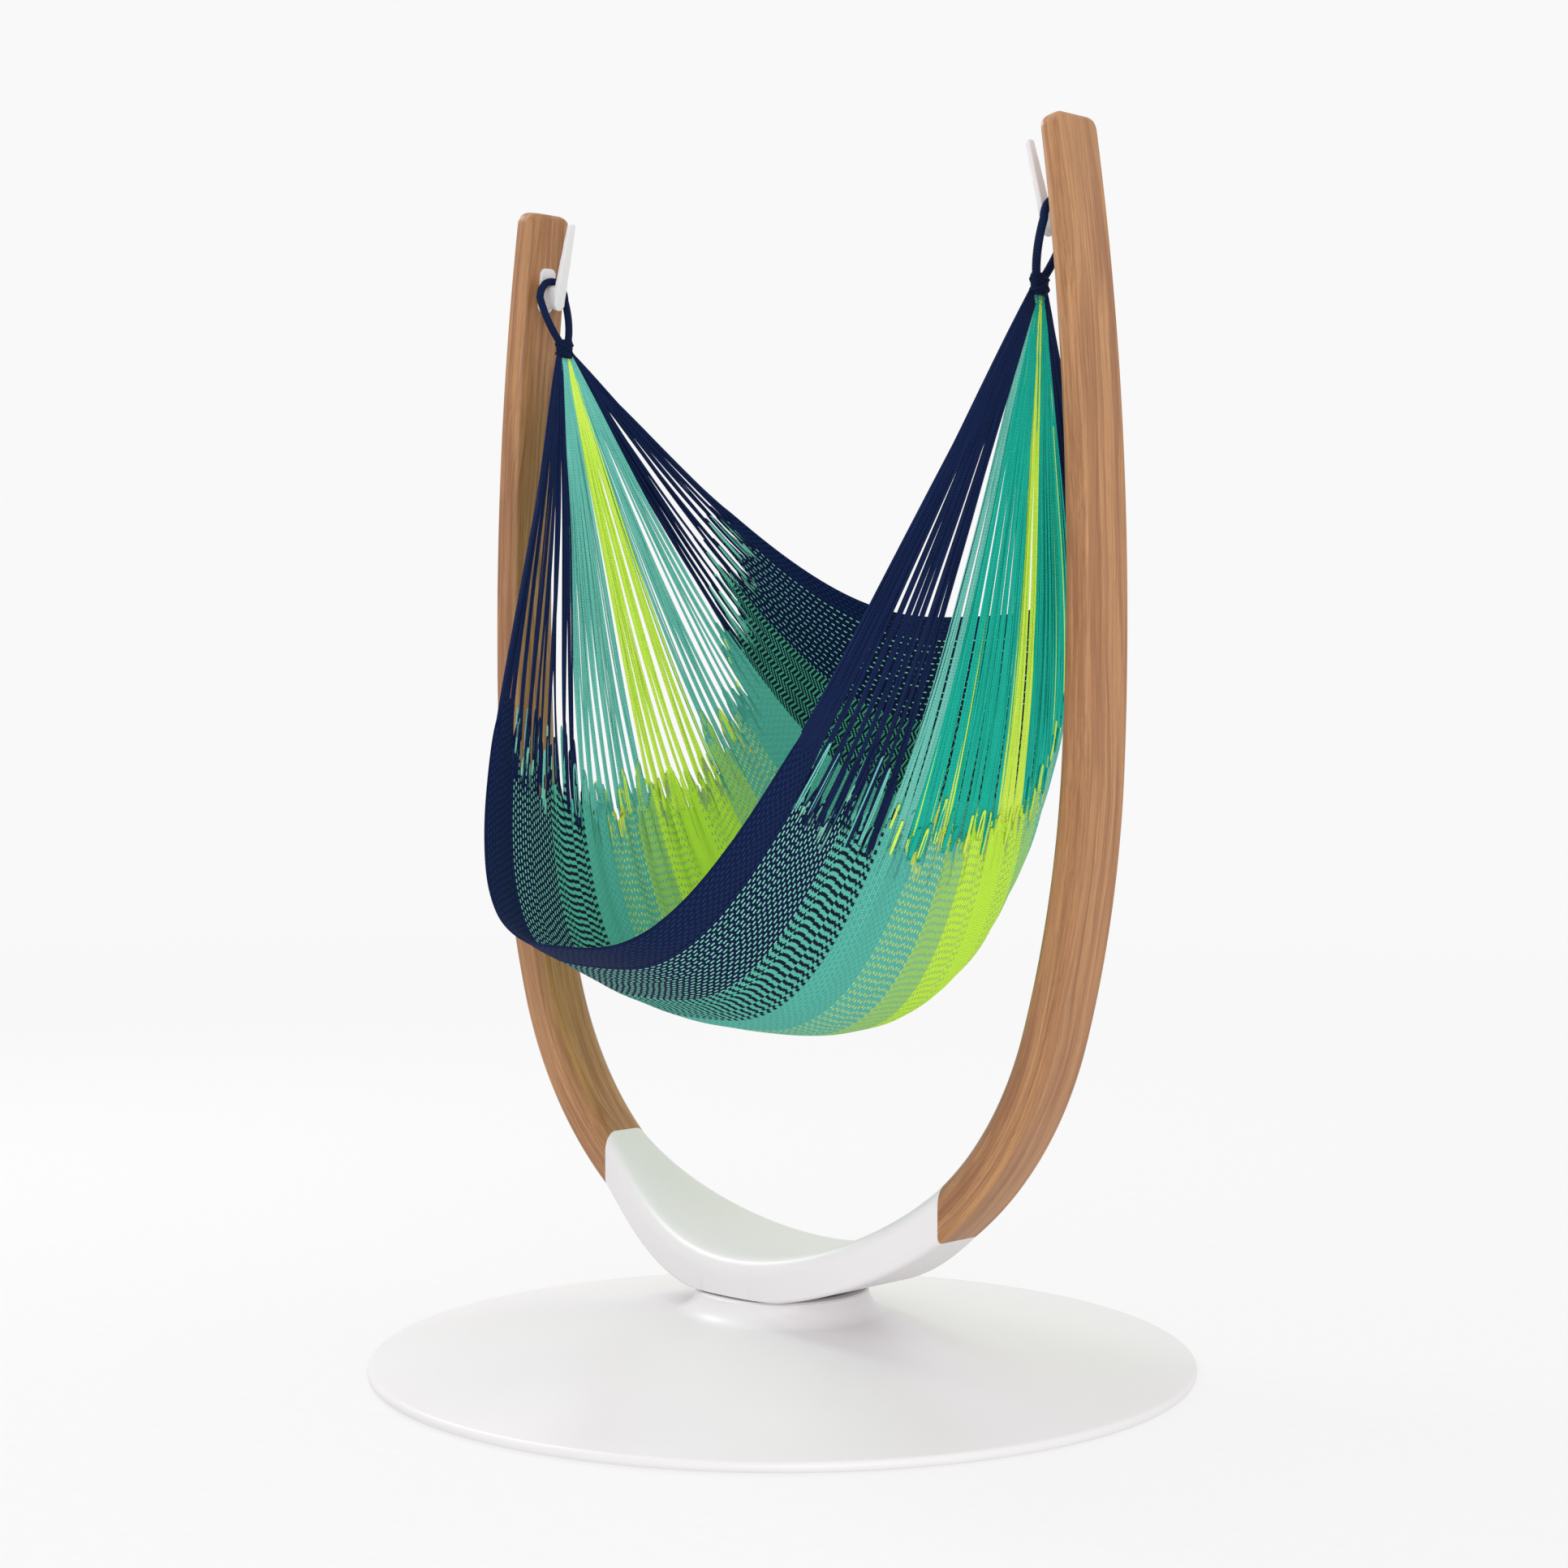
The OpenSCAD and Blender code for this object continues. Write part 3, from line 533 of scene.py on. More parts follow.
FOOT_R, BEND_R, UPPER_R = 564.0, 1560.0, 4150.0
BEND_A, UPPER_A = math.radians(16.5), math.radians(2.5)
FOOT_ZC = HUB_H - 5 + FOOT_R
FOOT_C = np.array([0.0, FOOT_ZC])
BEND_C = FOOT_C + (FOOT_R - BEND_R) * np.array([math.cos(BEND_A), -math.sin(BEND_A)])
UPPER_C = BEND_C + (BEND_R - UPPER_R) * np.array([math.cos(UPPER_A), -math.sin(UPPER_A)])
FRAME_H, JOINT_X, ARM_W = 1766.0, 345.0, 88.0
FOOT_T, TIP_T = 64.0, 33.0
INNER_EDGE_R, INNER_TIP_R = 22.0, 12.0
OUTER_EDGE_R, OUTER_TIP_R = 9.0, 5.0
TIP_A = -math.asin((FRAME_H - UPPER_C[1]) / UPPER_R)
JOINT_A = math.acos(JOINT_X / FOOT_R)
FOOT_LEN = FOOT_R * (JOINT_A - BEND_A)
BEND_LEN = BEND_R * (BEND_A - UPPER_A)
ARM_LEN = FOOT_LEN + BEND_LEN + UPPER_R * (UPPER_A - TIP_A)


def outline(a, k):
    centre, radius = UPPER_C, UPPER_R
    if a >= UPPER_A:
        centre, radius = BEND_C, BEND_R
    if a >= BEND_A:
        centre, radius = FOOT_C, FOOT_R
    return centre + (radius - k) * np.array([math.cos(a), -math.sin(a)])


def angle_at(s):
    if s < FOOT_LEN:
        return JOINT_A - s / FOOT_R
    if s < FOOT_LEN + BEND_LEN:
        return BEND_A - (s - FOOT_LEN) / BEND_R
    return UPPER_A - (s - FOOT_LEN - BEND_LEN) / UPPER_R


def section(half_w, t, r_in, r_out, dish):
    """(depth in from the outer face, place across the width), round the cross-section."""
    turn = np.radians(np.linspace(0, 90, 8))
    flat_w = half_w - r_in
    outer = [(r_out * (1 - math.cos(a)), half_w - r_out * (1 - math.sin(a))) for a in turn]
    inner = [(t - r_in * (1 - math.sin(a)), half_w - r_in * (1 - math.cos(a))) for a in turn]
    side = outer + inner
    middle = [(t - dish * (1 - (y / flat_w) ** 2), y) for y in np.linspace(-flat_w, flat_w, 15)[1:-1]]
    return [(k, -y) for k, y in side] + middle + side[::-1]


def chamfer(ring, amount):
    ring = np.asarray(ring, float)
    away = ring.mean(0) - ring
    away[:, 0] = 0
    length = np.linalg.norm(away, axis=1)[:, None]
    return ring + away / length * amount


def arm_ring(s):
    d = ARM_LEN - s
    nip = 20 - math.sqrt(d * (40 - d)) if d < 20 else 0
    sink = 9 - math.sqrt(d * (18 - d)) if d < 9 else 0
    t = mix(FOOT_T, TIP_T, s / ARM_LEN) - 2 * sink
    lean = max(0, 1 - s / 130)
    ring = []
    grain = []
    r_in = min(mix(INNER_EDGE_R, INNER_TIP_R, s / ARM_LEN), t / 2 - 0.5)
    r_out = min(mix(OUTER_EDGE_R, OUTER_TIP_R, s / ARM_LEN), t / 2 - 0.5)
    for k, y in section(ARM_W / 2 - nip, t, r_in, r_out, 0):
        depth = k + sink
        a = angle_at(s) + lean * (math.acos(JOINT_X / (FOOT_R - depth)) - JOINT_A)
        x, z = outline(a, depth)
        ring.append((x, y, z))
        grain.append((s / 1000, y / 1000, depth / 1000))
    return ring, grain


def build_arm(side, name, wood):
    body = ARM_LEN - 20
    stations = [0, 1.2, 5] + list(np.linspace(12, body, 190))
    stations += [ARM_LEN - d for d in (17, 14.5, 12, 10, 8, 6, 4.5, 3, 2, 1.2, 0.5, 0.1, 0)]
    rings = []
    grains = []
    for s in stations:
        ring, grain = arm_ring(s)
        rings.append(chamfer(ring, 1.1) if s == 0 else ring)
        grains += grain
    points, faces = loft(rings)
    if side < 0:
        points = points * (-1, 1, 1)
        faces = [f[::-1] for f in faces]
    arm = mesh_object(name + "_arm_wood", points, faces, wood, 50, "turning_frame")
    set_vector(arm, "grain", np.array(grains) + (0 if side > 0 else 7.3, 0, 0))
    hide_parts(name + "_arm")


def saddle_ring(x):
    f = max(0.0, math.cos(math.pi / 2 * x / JOINT_X)) ** 1.2
    ends_and_middle = (ARM_W / 2, 120), (FOOT_T, 64), (INNER_EDGE_R, 26), (OUTER_EDGE_R, 6)
    sizes = [mix(end, middle, f) for end, middle in ends_and_middle]
    return [
        (x, y, max(HUB_H + 3, FOOT_ZC - math.sqrt((FOOT_R - k) ** 2 - x * x)))
        for k, y in section(*sizes, 8 * f)
    ]


def build_saddle(paint):
    body = list(np.linspace(4 - JOINT_X, JOINT_X - 4, 160))
    stations = [-JOINT_X, 1 - JOINT_X] + body + [JOINT_X - 1, JOINT_X]
    rings = [chamfer(saddle_ring(x), 1.0) if abs(x) == JOINT_X else saddle_ring(x) for x in stations]
    points, faces = loft(rings)
    saddle = mesh_object("saddle_casting", points, faces, paint, 40, "turning_frame")
    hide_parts("saddle")


def build_hook(name, paint):
    """The CAD hook's shape with the soft edges and fillets of a casting."""
    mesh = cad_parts[name].data.copy()
    hook = bpy.data.objects.new(name + "_casting", mesh)
    scene.collection.objects.link(hook)
    mesh.materials.clear()
    mesh.materials.append(paint)
    remesh = hook.modifiers.new("remesh", "REMESH")
    remesh.mode = "VOXEL"
    remesh.voxel_size = 0.0011
    remesh.use_smooth_shade = True
    soften = hook.modifiers.new("soften", "SMOOTH")
    soften.factor = 0.5
    soften.iterations = 7
    apply_modifiers(hook)
    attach(hook, "turning_frame")
    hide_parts(name)


def apply_modifiers(obj):
    graph = bpy.context.evaluated_depsgraph_get()
    made = bpy.data.meshes.new_from_object(obj.evaluated_get(graph))
    obj.modifiers.clear()
    obj.data = made


# ---- yarn and rope: tubes along paths ----

class Tubes:
    """Many thin tubes in one mesh, each with its own path, radius and material."""

    def __init__(self, sides):
        self.sides = sides
        self.points = []
        self.strands = []
        self.faces = []
        self.kinds = []
        self.used = 0

    def add(self, path, radius, kind=0, across=(1.0, 0.0, 0.0), seed=0.0):
        path = np.asarray(path, float)
        count = len(path)
        radius = np.broadcast_to(np.asarray(radius, float), (count,))[:, None, None]
        step = np.gradient(path, axis=0)
        step /= np.linalg.norm(step, axis=1)[:, None]
        side = np.cross(step, across)
        side /= np.linalg.norm(side, axis=1)[:, None]
        up = np.cross(side, step)
        turn = np.arange(self.sides) * 2 * math.pi / self.sides
        ring = np.cos(turn)[None, :, None] * side[:, None] + np.sin(turn)[None, :, None] * up[:, None]
        points = path[:, None] + radius * ring
        run = np.r_[0, np.cumsum(np.linalg.norm(np.diff(path, axis=0), axis=1))] / 1000 + seed
        strand = np.empty((count, self.sides, 3))
        strand[:, :, 0] = run[:, None]
        strand[:, :, 1] = np.cos(turn)[None]
        strand[:, :, 2] = np.sin(turn)[None]
        self.points.append(points.reshape(-1, 3))
        self.strands.append(strand.reshape(-1, 3))
        faces = grid_faces(count, self.sides, True, self.used)
        faces.append(tuple(self.used + j for j in range(self.sides))[::-1])
        faces.append(tuple(self.used + (count - 1) * self.sides + j for j in range(self.sides)))
        self.faces += faces
        self.kinds += [kind] * len(faces)
        self.used += count * self.sides

    def build(self, name, materials, body, slot, nodes=()):
        obj = mesh_object(name, np.concatenate(self.points), self.faces, materials[0], None, body)
        for material in materials[1:]:
            obj.data.materials.append(material)
        obj.data.polygons.foreach_set("material_index", self.kinds)
        set_vector(obj, "strand", np.concatenate(self.strands))
        if nodes:
            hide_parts(*nodes)
        return obj


KNOT = np.array([488.0, 0.0, 1545.0])
AXIS_Z, FACE_X = 1638.0, 533.1
LOOP_W, LOOP_DROP, ROPE_R = 26.0, 28.0, 6.0
RIB_PITCH = 3.1
LOOP_Z = AXIS_Z + 10.5 + ROPE_R - LOOP_DROP


def bezier(a, b, c, d, f):
    return (1 - f) ** 3 * a + 3 * f * (1 - f) ** 2 * b + 3 * f * f * (1 - f) * c + f ** 3 * d


def loop_path():
    f = np.linspace(0, 1, 40)[:-1]
    corners = (7.2, 1553.0), (15.2, 1567.0), (LOOP_W, LOOP_Z - 34), (LOOP_W, LOOP_Z)
    side = bezier(*[np.array([p]) for p in corners], f[:, None])
    a = np.linspace(0, math.pi, 50)
    arc = np.c_[LOOP_W * np.cos(a), LOOP_Z + LOOP_DROP * np.sin(a)]
    yz = np.concatenate([side, arc, side[::-1] * (-1, 1)])
    lean = np.clip((yz[:, 1] - 1553) / (LOOP_Z - 1553), 0, 1)
    return np.c_[mix(KNOT[0], FACE_X - 17, lean), yz]


def along_path(path, spacing):
    run = np.r_[0, np.cumsum(np.linalg.norm(np.diff(path, axis=0), axis=1))]
    places = np.linspace(0, run[-1], max(3, int(run[-1] / spacing)))
    return np.stack([np.interp(places, run, path[:, i]) for i in range(3)], 1), places


def build_rope(side, name, material):
    """The loop's rope is served with thin cord, whose turns show as fine slanting ribs."""
    path, run = along_path(loop_path(), 0.8)
    step = np.gradient(path, axis=0)
    step /= np.linalg.norm(step, axis=1)[:, None]
    out = np.cross(step, (1.0, 0, 0))
    out /= np.linalg.norm(out, axis=1)[:, None]
    up = np.cross(out, step)
    turn = np.arange(24) * 2 * math.pi / 24
    rib = 0.5 * np.abs(np.sin(run[:, None] / RIB_PITCH * math.pi + turn / 2)) ** 0.7
    radius = ROPE_R - 0.5 + rib
    ring = np.cos(turn)[None, :, None] * out[:, None] + np.sin(turn)[None, :, None] * up[:, None]
    points, faces = loft((path[:, None] + radius[..., None] * ring) * (side, 1, 1))
    rope = mesh_object(name + "_served_loop", points, faces, material, None, "hammock")
    strand = np.stack(np.broadcast_arrays(run[:, None] / 1000, np.cos(turn), np.sin(turn)), -1)
    set_vector(rope, "strand", strand)
    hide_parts(name + "_rope_loop")


def build_whipping(side, name, material):
    tubes = Tubes(8)
    z = np.linspace(1530, 1559, 12)
    core = np.c_[np.full(12, 487.5), np.zeros(12), z]
    half_y = mix(10.5, 13.0, (z - 1530) / 29)
    for y in (-0.55, 0.0, 0.55):
        tubes.add((core + np.c_[np.zeros(12), y * half_y, np.zeros(12)]) * (side, 1, 1), 7.4, 0)
    turns = np.linspace(0, 10 * 2 * math.pi, 260)
    height = np.linspace(1532, 1556, 260)
    wide = mix(13.2, 15.6, (height - 1530) / 29)
    coil = np.c_[487.5 + 8.2 * np.cos(turns), wide * np.sin(turns), height]
    tubes.add(coil * (side, 1, 1), 1.35, 0, (0.02, 0.03, 1.0))
    for sign in (-1, 1):
        a = np.linspace(0, 2 * math.pi, 60)
        cross = np.c_[487.5 + 9.6 * np.cos(a), 16.2 * np.sin(a), 1544 + sign * 8.5 * np.sin(a)]
        tubes.add(cross * (side, 1, 1), 1.5, 0, (0.02, 0.03, 1.0), 2.0 + sign)
    tubes.build(name + "_knot_wrap", [material], "hammock", "navy_rope", [name + "_whipping"])


# ---- hammock cloth: u runs across from front to back edge, x along from knot to knot, as in the CAD ----

CORNERS = np.array([(-424.0, 645.0), (-100.0, 482.0), (369.0, 256.0), (418.0, 1118.0)])
SAG = 3.15


def across(u):
    return bezier(*CORNERS, np.asarray(u, float)[..., None])


ALL_U = np.linspace(0, 1, 1001)
ALL_ARC = np.r_[0, np.cumsum(np.linalg.norm(np.diff(across(ALL_U), axis=0), axis=1))]


def u_of(arc):
    return np.interp(arc, ALL_ARC, ALL_U)


def arc_of(u):
    return np.interp(u, ALL_U, ALL_ARC)


def cloth(u, x):
    """Points of the hanging surface, in millimetres."""
    u, x = np.broadcast_arrays(np.asarray(u, float), np.asarray(x, float))
    w = 354 * (1 - u) * (1 - 2 * u) + 4 * 404 * u * (1 - u) + 429 * u * (2 * u - 1)
    reach = SAG * (KNOT[0] - w)
    t = reach / (w + reach)
    d = np.abs(x)
    straight = t * (KNOT[0] - d) / (KNOT[0] - w)
    drop = np.where(d > w, straight, 1 - (1 - t) * (np.minimum(d, w) / w) ** SAG)
    c = across(u)
    return np.stack([x, c[..., 0] * drop, mix(KNOT[2], c[..., 1], drop)], -1)


def cloth_normal(u, x):
    """Unit normals, pointing up and inwards."""
    du = cloth(np.minimum(u + 0.004, 1.02), x) - cloth(u - 0.004, x)
    dx = cloth(u, x + 2) - cloth(u, x - 2)
    n = np.cross(dx, du)
    return n / np.linalg.norm(n, axis=-1)[..., None]


# Where the weave ends on each side, as x at places across the cloth
EDGE_U = (0, 0.1, 0.3, 0.55, 0.72, 0.80, 0.86, 0.93, 1.0)
LEFT_END = (322, 326, 332, 338, 343, 336, 356, 371, 364)
RIGHT_END = (316, 318, 324, 328, 318, 322, 348, 368, 364)


def weave_end(u, side):
    return np.interp(u, EDGE_U, LEFT_END if side < 0 else RIGHT_END)


def ripple(u, x):
    """Slack in the cloth: shallow pleats that run along it and deepen towards the ends."""
    arc = arc_of(u)
    end = np.abs(x) / 340
    pleats = np.sin(arc / 11.5 + 1.3 * np.sin(x / 170)) * 0.8 + np.sin(arc / 21 + x / 260 + 2) * 1.6
    broad = np.sin(arc / 57 + 0.8 * np.sin(x / 210 + 1)) * 2.6
    inner = ease((arc - 270) / 60) * ease((900 - arc) / 100)
    folds = np.sin(arc / 7.6 + 1.6 * np.sin(arc / 83) + 0.5 * np.sin(x / 90))
    folds = folds * 3.4 * inner * ease(end - 0.25)
    return (pleats + broad) * (0.25 + 0.75 * end ** 2) + folds * np.where(x < 0, 1.0, 0.55)


SIDES = ((-1, "left"), (1, "right"))
PANEL = 27.0                # width of the bundles that the weave ends in
BED_FROM, BED_TO = 62, 1274
PANEL_COLS = 4
BED_ROWS = 172
NAVY_FRONT, NAVY_BACK = 290, 1000   # where the navy bands end and begin again


def panel_edges():
    count = int((BED_TO - BED_FROM) / PANEL)
    edges = np.linspace(BED_FROM, BED_TO, count + 1)
    edges[1:-1] += rng.uniform(-5, 5, count - 1)
    return u_of(edges)


def openness(u):
    """How far the bundles draw together at the weave's end: more in the navy parts."""
    arc = arc_of(u)
    navy = ease((300 - arc) / 60) + ease((arc - 985) / 40)
    return 0.30 + 0.36 * navy


def is_navy(arc):
    return arc < NAVY_FRONT or arc > NAVY_BACK


def slit_rows(edges):
    """How many rows deep the slits between the bundles run: deep in the navy parts."""
    return [int(rng.integers(6, 12)) if is_navy(arc_of(u)) else int(rng.integers(3, 6)) for u in edges]


def teal_growth(arc, along):
    """The solid teal band widens towards the right end, and the ones behind it close up."""
    return 27 * ease(along / 450) * ease((arc - 275) / 90) * ease((570 - arc) / 110)


def drawn_in(i, edges, ends, slit, rows):
    """Along the rows: where a bundle's two edges run as it closes up, and how far it reaches out."""
    middle = (edges[i] + edges[i + 1]) / 2
    draw = []
    reach = np.zeros(len(rows))
    for b in (i, i + 1):
        inner = 1 if 0 < b < len(edges) - 1 else 0
        closed = np.zeros(len(rows))
        for side in (-1, 1):
            left = rows if side < 0 else BED_ROWS - rows
            q = ease((slit[side][b] - left) / slit[side][b]) * inner
            closed = closed + q * openness(middle) * ends["draw"][side][i]
            reach = reach + side * 0.5 * ends["reach"][side][i] * ease((14 - left) / 14)
        draw.append(mix(edges[b], middle, closed))
    return draw, reach


def bed_panel(i, edges, ends, slit, rows):
    """Points and weave coordinates of one bundle's strip of cloth, from the left end to the right."""
    v = rows / BED_ROWS
    place = mix(v, 0.5 - 0.5 * np.cos(math.pi * v), 0.4)
    draw, reach = drawn_in(i, edges, ends, slit, rows)
    f = np.linspace(0, 1, PANEL_COLS + 1)
    u = draw[0][:, None] * (1 - f) + draw[1][:, None] * f
    flat_u = edges[i] * (1 - f) + edges[i + 1] * f
    x = mix(-weave_end(flat_u, -1), weave_end(flat_u, 1), place[:, None])
    near = np.minimum(rows, BED_ROWS - rows)[:, None]
    tip = ease((5 - near) / 5) * (2 * f - 1) ** 2 * -9
    x = x + reach[:, None] + np.sign(v - 0.5)[:, None] * tip
    crown = ease((12 - near) / 12) * (1 - (2 * f - 1) ** 2) * 3.5
    p = cloth(u, x) + (ripple(u, x) + crown)[..., None] * cloth_normal(u, x)
    step = np.linalg.norm(np.diff(p, axis=0), axis=2)
    run = np.vstack([np.zeros(PANEL_COLS + 1), np.cumsum(step, axis=0)])
    along = run - run[BED_ROWS // 2]
    left = np.minimum(run, run[-1] - run)
    arcs = np.broadcast_to(arc_of(flat_u), u.shape)
    return p, np.stack([arcs - teal_growth(arcs, along), along, left], -1) / 1000


def build_bed(edges, ends, material):
    """The net: one sheet whose strips come apart near both ends, into the bundles."""
    rows = np.arange(BED_ROWS + 1)
    points = []
    weave = []
    faces = []
    slit = {side: slit_rows(edges) for side in (-1, 1)}
    for i in range(len(edges) - 1):
        p, coords = bed_panel(i, edges, ends, slit, rows)
        points.append(p.reshape(-1, 3))
        weave.append(coords.reshape(-1, 3))
        faces += grid_faces(len(rows), PANEL_COLS + 1, False, i * len(points[0]))
    bed = mesh_object("woven_net_bed", np.concatenate(points), faces, material)
    set_vector(bed, "weave", np.concatenate(weave))
    weld(bed)
    thick = bed.modifiers.new("thickness", "SOLIDIFY")
    thick.thickness = 0.0024
    thick.offset = 0
    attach(bed, "hammock")
    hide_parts("woven_bed")
    return bed


def bundle_ends(count):
    """Small differences between the bundles: how far each reaches out, and how tightly it draws in."""
    return {
        "reach": {side: rng.uniform(-13, 13, count) for side in (-1, 1)},
        "draw": {side: rng.uniform(0.6, 1.25, count) for side in (-1, 1)},
    }


BAND_SIDES = 28
BAND_PAST, BAND_TAPER = 16, 24      # the edge bands run on past the weave, and thin from before its end
FAR_FROM_END = 500.0


def build_edge_band(name, u0, u1, thick, roll, material, node):
    """A close-woven edge: a flattened tube that thickens at the free edge and thins out into the strings."""
    turn = np.linspace(0, 2 * math.pi, BAND_SIDES, endpoint=False)
    rings = []
    weave = []
    left_end, right_end = -weave_end(u0, -1) - BAND_PAST, weave_end(u0, 1) + BAND_PAST
    run = 0.0
    before = None
    for x in np.linspace(left_end, right_end, 210):
        over = abs(x) - (weave_end(u0, np.sign(x)) - BAND_TAPER)
        tail = ease(max(0, over) / (BAND_PAST + BAND_TAPER))
        width = (u1 - u0) / 2 * (1 - 0.3 * tail ** 3)
        u = (u0 + u1) / 2 - width * np.cos(turn)
        free = (1 + np.cos(turn)) / 2 if u0 < 0.5 else (1 - np.cos(turn)) / 2
        high = mix(thick / 2 + (roll - thick / 2) * free ** 6, 1.1, tail) * np.sin(turn)
        high = high * (1 + 0.12 * math.sin(x / 9) * free ** 4)
        p = cloth(u, x) + (ripple(u, x) + high)[:, None] * cloth_normal(u, np.full_like(u, x))
        run += 0 if before is None else np.linalg.norm(p.mean(0) - before)
        before = p.mean(0)
        rings.append(p)
        weave.append(np.c_[arc_of(u), np.full(BAND_SIDES, run), np.full(BAND_SIDES, FAR_FROM_END)] / 1000)
    points, faces = loft(rings)
    band = mesh_object(name, points, faces, material, None, "hammock")
    set_vector(band, "weave", np.concatenate(weave))
    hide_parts(node)
    return band


def string_kind(arc, side, luck=0.5):
    """0 navy, 1 teal, 2 lime, 3 emerald, by the band that the string comes from and by its side: most middle
    strings are teal on the left and emerald on the right.
    """
    if is_navy(arc):
        return 0
    if side < 0:
        return 2 if 500 < arc < 735 else 1
    if arc < 365:
        return 1
    if 600 < arc < 690:
        return 2
    return 2 if luck < 0.06 else 3


STRING_POINTS = 26


def string_path(u, x0, side, wander):
    """From inside the weave's end to the knot, straight but for a little slack."""
    f = np.linspace(0, 1, STRING_POINTS)
    x = mix(x0, KNOT[0] - 1.5, f)
    points = cloth(u, x)
    normal = cloth_normal(np.full_like(x, u), np.minimum(x, 440))
    slack = np.sin(math.pi * f) ** 1.2
    points = points + (wander[0] * slack + ripple(u, x) * (1 - f) ** 3)[:, None] * normal
    points[:, 1] += wander[1] * slack
    gather = ease((f - 0.55) / 0.45)[:, None]
    target = np.array([-1.5, 13 * (2 * u - 1) + wander[2], -10 + wander[3]])
    points = points + gather * target * (1, 1, 1)
    return points * (side, 1, 1)


# Where the edge bands' own bundles lie, and the strings in each bundle: navy, teal, lime, emerald
FRONT_ARCS = (9, 28, 47)
BACK_ARCS = (1279, 1294)
STRINGS = {-1: (6, 8, 8, 8), 1: (11, 9, 9, 9)}


def bundles(edges, ends, side):
    """(middle, half width, end) of each bundle of strings, with the two edge bands as bundles too."""
    front = [(u_of(arc), u_of(9.5) - u_of(0), weave_end(0, side) + 8) for arc in FRONT_ARCS]
    back = [(u_of(arc), u_of(1304) - u_of(1296), weave_end(1, side) + 8) for arc in BACK_ARCS]
    middles = (edges[:-1] + edges[1:]) / 2
    halves = (edges[1:] - edges[:-1]) / 2
    closed = np.minimum(openness(middles) * ends["draw"][side], 0.9)
    tips = weave_end(middles, side) + 0.5 * ends["reach"][side]
    return front + list(zip(middles, halves * (1 - closed * 0.9), tips)) + back


FAN_PARTS = (("front", "navy_yarn"), ("seat", "lime_yarn"), ("back", "teal_yarn"))


def build_strings(edges, ends, yarns):
    """Fans of strings from every bundle of the weave to the knots, in three parts each side."""
    for side, label in SIDES:
        fans = [Tubes(6) for _ in FAN_PARTS]
        for middle, half, end in bundles(edges, ends, side):
            arc = float(arc_of(middle))
            part = fans[int(np.clip((middle - 0.05) / 0.925 * 3, 0, 2))]
            count = STRINGS[side][string_kind(arc, side)] + int(rng.integers(-1, 2))
            count += 3 if arc < BED_FROM or arc > BED_TO else 0
            count -= 3 if side < 0 and 700 < arc < 1000 else 0
            drift = rng.normal(0, 3.0)
            gather = rng.uniform(0.35, 0.75) if side < 0 else rng.uniform(0.75, 0.98)
            for k in range(count):
                spot = middle + 2 * half * gather * ((k + 0.5) / count - 0.5) + rng.normal(0, 0.0005)
                wander = rng.normal(0, (2.0, 1.6, 1.6, 4.0)) + (0, drift, 0, 0)
                path = string_path(spot, end - rng.uniform(4, 12), side, wander)
                radius = np.interp(np.arange(STRING_POINTS), (0, 0.6, 1.6, 3), (2.0, 1.9, 1.6, 1.4))
                kind = string_kind(float(arc_of(spot)) + rng.normal(0, 4), side, rng.random())
                part.add(path, radius, kind, (0.1, 0.2, 1.0), rng.uniform(0, 50))
        for fan, (part, slot) in zip(fans, FAN_PARTS):
            node = f"{label}_{part}_strings"
            fan.build(f"{label}_{part}_fan", yarns, "hammock", slot, [node])


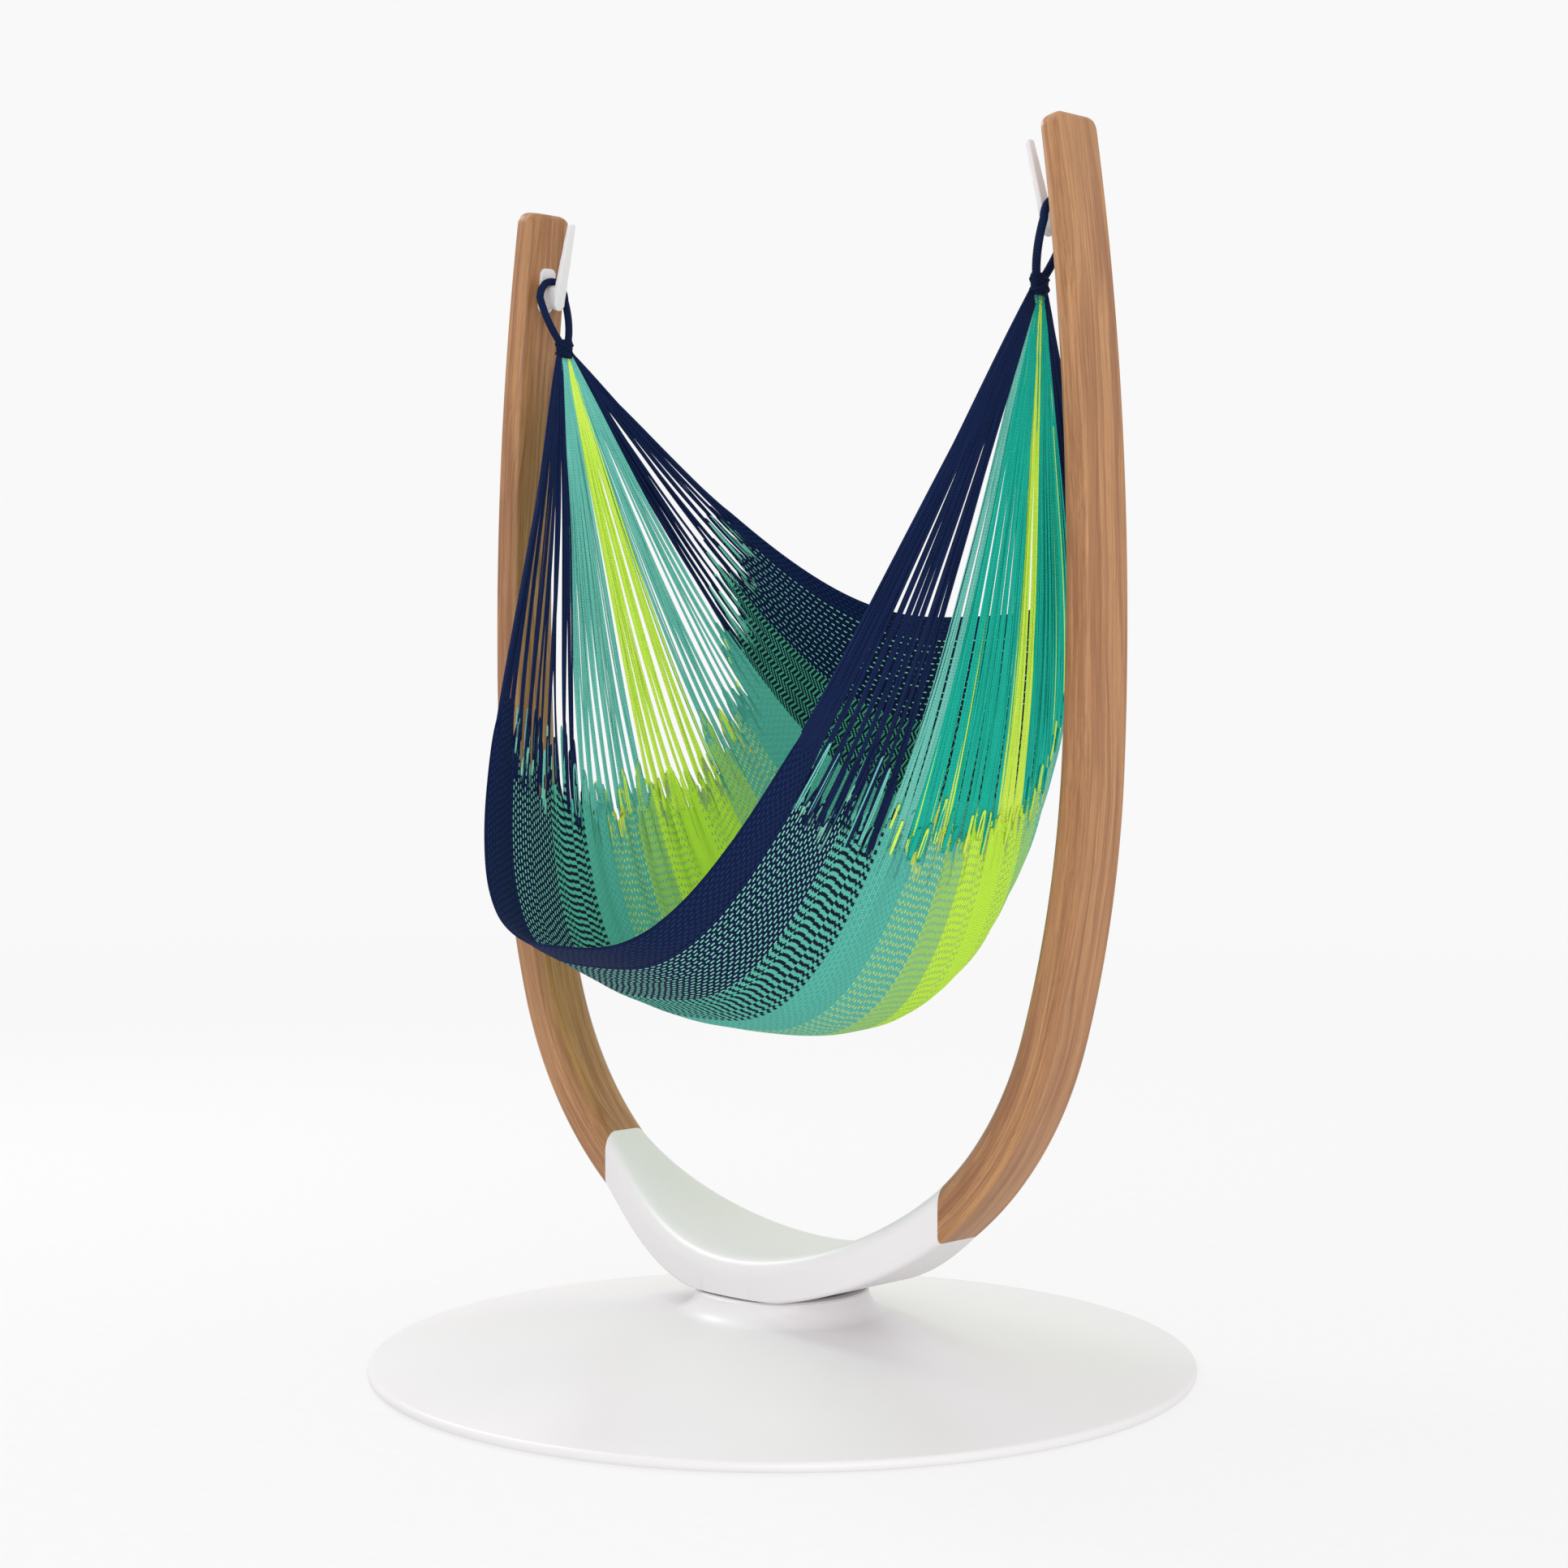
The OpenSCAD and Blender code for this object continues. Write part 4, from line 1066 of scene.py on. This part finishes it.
def build_loops(edges, ends, yarns):
    """The little loops of yarn that each bundle turns back in at the weave's end."""
    for side, label in SIDES:
        loops = Tubes(6)
        for middle, half, end in bundles(edges, ends, side)[len(FRONT_ARCS):-len(BACK_ARCS)]:
            arc = float(arc_of(middle))
            navy = is_navy(arc)
            for k in range(4 if navy else 3):
                a = np.linspace(-0.25, 1.25, 15) * math.pi
                wide = half * (rng.uniform(0.35, 0.8) if navy else rng.uniform(0.12, 0.35))
                u = middle + rng.uniform(-0.5, 0.5) * half + wide * np.cos(a)
                x = end - 10 + (rng.uniform(14, 26) if navy else rng.uniform(6, 13)) * np.sin(a)
                lift = 2.0 + 1.4 * np.sin(a) + rng.uniform(-0.6, 1.5)
                up = rng.choice((-1, 1))
                path = cloth(u, x) + (ripple(u, x * side) + lift * up)[:, None] * cloth_normal(u, x)
                kind = string_kind(arc, side)
                if k == 0:
                    kind = 1 if navy else 2
                loops.add(path * (side, 1, 1), 1.35, kind, (0.1, 0.9, 0.2), rng.uniform(0, 50))
        loops.build(label + "_weave_loops", yarns, "hammock", "teal_yarn")


def build_all():
    paint = powder_coat()
    wood = hardwood()
    steel = metal("zinc_steel", (0.58, 0.59, 0.61), 0.34)
    finishes = {"steel": steel, "bronze": metal("bronze", (0.56, 0.38, 0.18), 0.4), "rubber": rubber()}
    navy = yarn("navy_yarn", (0.002, 0.007, 0.036), (0.009, 0.024, 0.100), 1400)
    yarns = [
        navy,
        yarn("teal_yarn", (0.085, 0.42, 0.35), (0.24, 0.70, 0.60), 1400),
        yarn("lime_yarn", (0.52, 0.86, 0.05), (0.84, 0.99, 0.18), 1400),
        yarn("emerald_yarn", (0.003, 0.34, 0.26), (0.02, 0.60, 0.46), 1400),
    ]
    rope = yarn("navy_rope", (0.0015, 0.005, 0.024), (0.007, 0.019, 0.075), 1500)
    net = woven()
    build_base(paint)
    build_saddle(paint)
    for side, name in SIDES:
        build_arm(side, name, wood)
        build_hook(name + "_hook", paint)
        build_rope(side, name, rope)
        build_whipping(side, name, rope)
    edges = panel_edges()
    ends = bundle_ends(len(edges) - 1)
    bed = build_bed(edges, ends, net)
    front = build_edge_band("front_selvage_band", -0.002, u_of(66), 5.0, 5.0, net, "front_selvage")
    back = build_edge_band("back_selvage_band", u_of(1270), 1.0, 3.0, 3.2, net, "back_selvage")
    build_strings(edges, ends, yarns)
    build_loops(edges, ends, yarns)
    finish_nodes(finishes)


def finish_nodes(finishes):
    """The CAD nodes that stay in view get their finish by their material slot in the record."""
    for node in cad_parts.values():
        for place in node.material_slots:
            if not node.hide_render and place.material.name.split(".")[0] in finishes:
                place.material = finishes[place.material.name.split(".")[0]]


scene.view_settings.view_transform = "Standard"
make_camera()
make_world()
make_floor()
area_light("key", (-3.0, -0.2, 3.2), (0, 0, 0.3), 1.3, 48)
area_light("fill", (3.4, -2.6, 1.5), (-0.4, 0, 0.9), 2.6, 48)
build_all()
